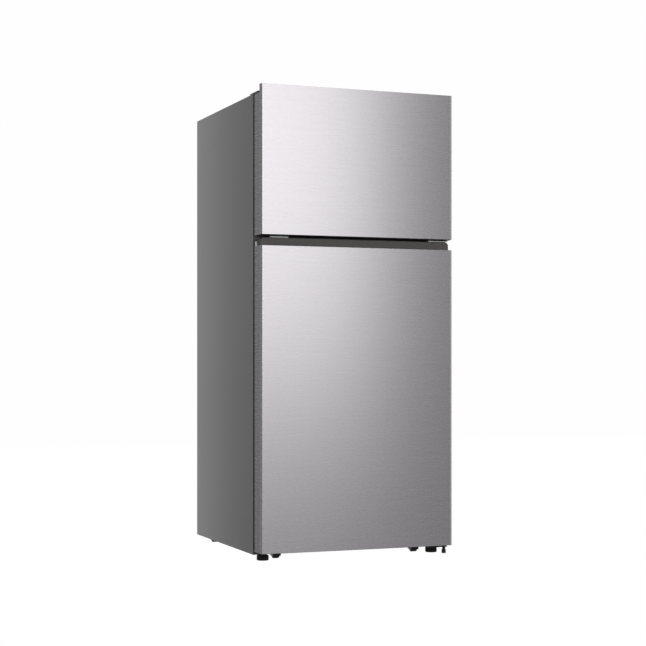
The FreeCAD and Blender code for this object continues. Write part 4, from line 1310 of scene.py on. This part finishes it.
@dataclass
class Coil:
    """A bank of tubes joined by return bends, with thin fins pressed on."""

    node: str
    finish: Finish
    fins: int
    tube: float
    levels: int = 5
    rows: int = 2
    bend_steps: int = 8
    tube_sides: int = 12

    def build(self) -> list[bpy.types.Object]:
        """Make the tubes with their bends, and the fins.

        Returns:
            The two pieces.
        """
        low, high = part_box(self.node)
        bend = 16 * MM
        inner_low, inner_high = low + Vector((bend, 9 * MM, 12 * MM)), high - Vector((bend, 9 * MM, 12 * MM))
        bm = bmesh.new()
        for row in range(self.rows):
            y = inner_low.y + (inner_high.y - inner_low.y) * row / max(1, self.rows - 1)
            path = []
            for level in range(self.levels):
                z = inner_low.z + (inner_high.z - inner_low.z) * level / (self.levels - 1)
                ends = (inner_low.x, inner_high.x) if level % 2 == 0 else (inner_high.x, inner_low.x)
                path += [Vector((ends[0], y, z)), Vector((ends[1], y, z))]
            self.add_tube(bm, path, bend)
        mesh = to_mesh(self.node + "_tubes", bm)
        tubes = finished(self.node + "_piece", mesh, self.finish, Body.CABINET, (self.node,))
        middle = (low + high) / 2
        start = inner_low.x + 6 * MM
        pitch = (inner_high.x - 6 * MM - start) / (self.fins - 1)
        row = Row(
            self.node + "_fins", Stamp.PLATE, self.fins, (start, middle.y, middle.z), (pitch, 0, 0),
            (0.5 * MM, high.y - low.y - 1 * MM, high.z - low.z - 2 * MM),
        )
        return [tubes, finished(self.node + "_fins", row.mesh(self.finish), self.finish, Body.CABINET)]

    def add_tube(self, bm: Build, path: list[Vector], bend: float) -> None:
        """Sweep a round tube along level runs with half-round bends between them.

        Args:
            bm: the mesh to add it to.
            path: the ends of each level run in order.
            bend: how far a bend may reach past a run's end, in metres.
        """
        line = [path[0]]
        for near, far in zip(path[1:-1:2], path[2::2]):
            centre = (near + far) / 2
            rise = (far - near).length / 2
            right = near.x > path[0].x - 1e-6 and near.x > (path[0].x + path[1].x) / 2
            outward = Vector((1 if right else -1, 0, 0))
            for step in range(self.bend_steps + 1):
                angle = math.pi * step / self.bend_steps
                reach = min(bend - self.tube, rise)
                lift = Vector((0, 0, rise * math.cos(angle)))
                line.append(centre + outward * reach * math.sin(angle) - lift)
        line.append(path[-1])
        loops = []
        for index, point in enumerate(line):
            after, before = line[min(index + 1, len(line) - 1)], line[max(index - 1, 0)]
            along = (after - before).normalized()
            side = Vector((0, 1, 0))
            up = along.cross(side)
            turns = [2 * math.pi * k / self.tube_sides for k in range(self.tube_sides)]
            loops.append([
                point + (side * math.cos(turn) + up * math.sin(turn)) * self.tube for turn in turns
            ])
        add_loops(bm, loops)


@dataclass
class Machine:
    """Compressor, condenser, pan, vented rear cover and the gland for the supply cord."""

    louvre_rows: int = 2
    louvres: int = 21

    def build(self) -> list[bpy.types.Object]:
        """Make what sits in the machine space.

        Returns:
            The pieces.
        """
        pieces = [self.compressor()]
        pieces.append(softened("compressor_grommets", RUBBER, Body.CABINET, 1.2 * MM))
        pieces += Coil("condenser_coil", ENAMEL, 34, 3 * MM, levels=4, rows=3).build()
        pieces.append(softened("drain_pan", BLACK, Body.CABINET, 1.0 * MM))
        pieces.append(softened("machine_cover", BARE_SHEET, Body.CABINET, 0.5 * MM))
        pieces.append(self.louvre_hoods())
        pieces.append(softened("cord_gland", BLACK, Body.CABINET, 1.0 * MM, 3))
        return pieces

    def compressor(self) -> bpy.types.Object:
        """A domed can with a rolled seam on its mounting tray, a terminal box and three pipe stubs.

        Returns:
            The piece.
        """
        node = "compressor"
        low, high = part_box(node)
        deep = high.y - low.y
        radius = deep / 2
        centre = (low.x + 6 * MM + radius, (low.y + high.y) / 2, low.z)
        tall = high.z - low.z
        outline = [
            (0, 4), (0.8, 4), (0.9, 9), (0.955, 20), (0.96, tall / MM * 0.52), (1.0, tall / MM * 0.525),
            (1.0, tall / MM * 0.56), (0.96, tall / MM * 0.565),
            (0.955, tall / MM - 36), (0.9, tall / MM - 22),
            (0.78, tall / MM - 10), (0.55, tall / MM - 3), (0.3, tall / MM - 0.5), (0, tall / MM),
        ]
        meshes = [lathe(node + "_can", [(r * radius, h * MM) for r, h in outline], centre, Axis.Z, 64)]
        bm = bmesh.new()
        tray_low, tray_high = (low.x, low.y + 12 * MM, 0), (centre[0] + radius + 6 * MM, high.y - 12 * MM, 0)
        tray = ((1 * MM, low.z), (0, low.z + 1 * MM), (0, low.z + 3.5 * MM), (1 * MM, low.z + 4.5 * MM))
        add_loops(bm, [rounded_loop(tray_low, tray_high, inset, 12 * MM, z) for inset, z in tray])
        lid_low = (centre[0] + radius - 16 * MM, centre[1] - 26 * MM, 0)
        lid_high = (high.x, centre[1] + 26 * MM, 0)
        lid = (
            (2 * MM, low.z + 24 * MM), (0, low.z + 26 * MM),
            (0, low.z + 76 * MM), (2 * MM, low.z + 78.8 * MM),
        )
        add_loops(bm, [rounded_loop(lid_low, lid_high, inset, 4 * MM, z) for inset, z in lid])
        meshes.append(to_mesh(node + "_tray", bm))
        for index, turn in enumerate((200, 235, 270)):
            angle = math.radians(turn)
            foot = (
                centre[0] + 0.7 * radius * math.cos(angle), centre[1] + 0.7 * radius * math.sin(angle),
                high.z - 30 * MM,
            )
            pipe = [(0, 0), (3.2 * MM, 0), (3.2 * MM, 26 * MM), (2.4 * MM, 28 * MM), (0, 28 * MM)]
            meshes.append(lathe(f"{node}_stub_{index}", pipe, foot, Axis.Z, 16))
        return finished(node + "_piece", joined(node + "_whole", meshes), ENAMEL, Body.CABINET, (node,))

    def louvre_hoods(self) -> bpy.types.Object:
        """A slanted lip beside every slot of the rear cover.

        Returns:
            The piece.
        """
        low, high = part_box("machine_cover")
        meshes = []
        for row in range(self.louvre_rows):
            middle = low.z + (38.8 + 28 + row * 74) * MM
            hoods = Row(
                f"louvre_hoods_{row}", Stamp.PLATE, self.louvres,
                (-0.3135, high.y + 1.4 * MM, middle), (0.03, 0, 0),
                (5.5 * MM, 0.8 * MM, 56 * MM), (0, 0, math.radians(-35)),
            )
            meshes.append(hoods.mesh(BARE_SHEET))
        return finished("louvre_hoods", joined("louvre_hoods", meshes), BARE_SHEET, Body.CABINET)


# --- studio ------------------------------------------------------------------------------------


@dataclass
class Studio:
    """A pale floor, a white surround, soft lights and the camera."""

    floor_size: float = 14.0
    ambient: float = 0.25
    key_power: float = 1.6
    strip_power: float = 1.4
    edge_power: float = 0.8

    def build(self) -> None:
        """Set the stage."""
        self.world()
        self.floor()
        self.softbox()
        self.rear_strip()
        self.right_panel()
        self.camera()
        view = bpy.context.scene.view_settings
        view.view_transform = "Standard"
        view.look = "None"

    def world(self) -> None:
        """White to the camera, an even grey to everything else."""
        world = bpy.data.worlds.new("studio_white")
        bpy.context.scene.world = world
        world.use_nodes = True
        tree = world.node_tree
        back = tree.nodes["Background"]
        ray = tree.nodes.new("ShaderNodeLightPath")
        level = ramp(tree, ray.outputs["Is Camera Ray"], (0.0, 1.0), (self.ambient, 1.0))
        tree.links.new(level, back.inputs["Strength"])
        back.inputs["Color"].default_value = (1, 0.99, 1, 1)

    def floor(self) -> None:
        """A wide pale floor that fades into the surround."""
        half = self.floor_size / 2
        bm = bmesh.new()
        corners = ((-1, -1), (1, -1), (1, 1), (-1, 1))
        bm.faces.new([bm.verts.new((x * half, y * half, -0.0005)) for x, y in corners])
        mesh = to_mesh("floor", bm)
        floor = bpy.data.objects.new("floor", mesh)
        bpy.context.scene.collection.objects.link(floor)
        material = bpy.data.materials.new("pale_floor")
        material.use_nodes = True
        nodes, links = material.node_tree.nodes, material.node_tree.links
        nodes["Principled BSDF"].inputs["Base Color"].default_value = (0.35, 0.35, 0.35, 1)
        nodes["Principled BSDF"].inputs["Roughness"].default_value = 0.9
        glow = nodes.new("ShaderNodeEmission")
        ray = nodes.new("ShaderNodeLightPath")
        mix = nodes.new("ShaderNodeMixShader")
        links.new(ray.outputs["Is Camera Ray"], mix.inputs[0])
        links.new(nodes["Principled BSDF"].outputs[0], mix.inputs[1])
        links.new(glow.outputs[0], mix.inputs[2])
        links.new(mix.outputs[0], nodes["Material Output"].inputs["Surface"])
        mesh.materials.append(material)
        floor.visible_glossy = False

    def softbox(self) -> None:
        """A tall soft panel ahead and to the right that fades towards its right and its foot."""
        corners = ((-4.0, -6.4, -2.0), (4.2, -6.4, -2.0), (4.2, -6.4, 4.6), (-4.0, -6.4, 4.6))
        self.panel("softbox", corners, self.key_power, (3.1, 2.25), (-0.35, 1.4))

    def rear_strip(self) -> None:
        """A dimmer panel behind and to the left that lifts the rear of the case's side."""
        corners = ((-3.2, 6.0, -2.0), (-0.5, 6.0, -2.0), (-0.5, 6.0, 4.6), (-3.2, 6.0, 4.6))
        self.panel("rear_strip", corners, self.strip_power, (-2.5, -1.6), (-3.0, -2.0))

    def right_panel(self) -> None:
        """A dim panel far to the right that draws a line of light along the doors' right edges."""
        corners = ((5.0, -5.0, -1.0), (5.0, 1.5, -1.0), (5.0, 1.5, 3.6), (5.0, -5.0, 3.6))
        self.panel("right_panel", corners, self.edge_power, (4.0, 4.5), (-1.5, -1.1))

    def panel(self, name: str, corners: tuple[Point, ...], power: float, across: Pair, up: Pair) -> None:
        """An upright glowing sheet, unseen by the camera, that fades along X and along Z.

        Args:
            name: the panel's name.
            corners: its four corners.
            power: its strength where it is brightest.
            across: the X where it is dark and where it is bright.
            up: the Z where it is dark and where it is bright.
        """
        bm = bmesh.new()
        bm.faces.new([bm.verts.new(corner) for corner in corners])
        mesh = to_mesh(name, bm)
        panel = bpy.data.objects.new(name, mesh)
        bpy.context.scene.collection.objects.link(panel)
        panel.visible_camera = False
        panel.visible_shadow = False
        material = bpy.data.materials.new(name + "_glow")
        material.use_nodes = True
        tree = material.node_tree
        tree.nodes.remove(tree.nodes["Principled BSDF"])
        sides = ramp(tree, object_axis(tree, "X"), across, smooth=True)
        foot = ramp(tree, object_axis(tree, "Z"), up, smooth=True)
        both = reckon(tree, "MULTIPLY", sides, foot)
        glow = tree.nodes.new("ShaderNodeEmission")
        tree.links.new(reckon(tree, "MULTIPLY_ADD", both, power, self.ambient), glow.inputs["Strength"])
        tree.links.new(glow.outputs[0], tree.nodes["Material Output"].inputs["Surface"])
        mesh.materials.append(material)

    def camera(self) -> None:
        """A long lens at the height of the crisper drawers, turned towards the door."""
        lens = bpy.data.cameras.new("camera")
        lens.lens = 86.93
        lens.sensor_width = 36
        lens.shift_y = 0.0536
        lens.clip_end = 100
        holder = bpy.data.objects.new("camera", lens)
        holder.location = (-2.1476, -5.5576, 0.7227)
        holder.rotation_euler = (math.pi / 2, 0, -0.3707)
        bpy.context.scene.collection.objects.link(holder)
        bpy.context.scene.camera = holder


def islands(node: str) -> list[tuple[Vector, Vector]]:
    """The lowest and highest corner of each loose part of a CAD node.

    Args:
        node: the node's name.

    Returns:
        The boxes, ordered by place.
    """
    bm = bmesh.new()
    bm.from_mesh(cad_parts[node].data)
    bmesh.ops.remove_doubles(bm, verts=bm.verts, dist=1e-5)
    boxes, seen = [], set()
    for start in bm.verts:
        if start in seen:
            continue
        found, edge = [], [start]
        seen.add(start)
        while edge:
            vert = edge.pop()
            found.append(vert.co.copy())
            for link in vert.link_edges:
                other = link.other_vert(vert)
                if other not in seen:
                    seen.add(other)
                    edge.append(other)
        low = Vector(min(p[i] for p in found) for i in range(3))
        high = Vector(max(p[i] for p in found) for i in range(3))
        boxes.append((low, high))
    bm.free()
    return sorted(boxes, key=lambda pair: tuple(pair[0]))


def main() -> None:
    """Build every sub-assembly in order and set the stage."""
    logging.basicConfig(level=logging.INFO)
    Cabinet().build()
    Door("freezer_door", Body.FREEZER_DOOR, ("freezer_bin_low", "freezer_bin_high"), 1.1995, 1.598).build()
    fridge_bins = ("fridge_bin_low", "fridge_bin_middle", "fridge_bin_high")
    Door("fridge_door", Body.FRIDGE_DOOR, fridge_bins, 0.086, 1.0895).build()
    Dairy().build()
    Hinges().build()
    Underside().build()
    Interior().build()
    ColdSide().build()
    Machine().build()
    Studio().build()


if __name__ == "__main__":
    main()
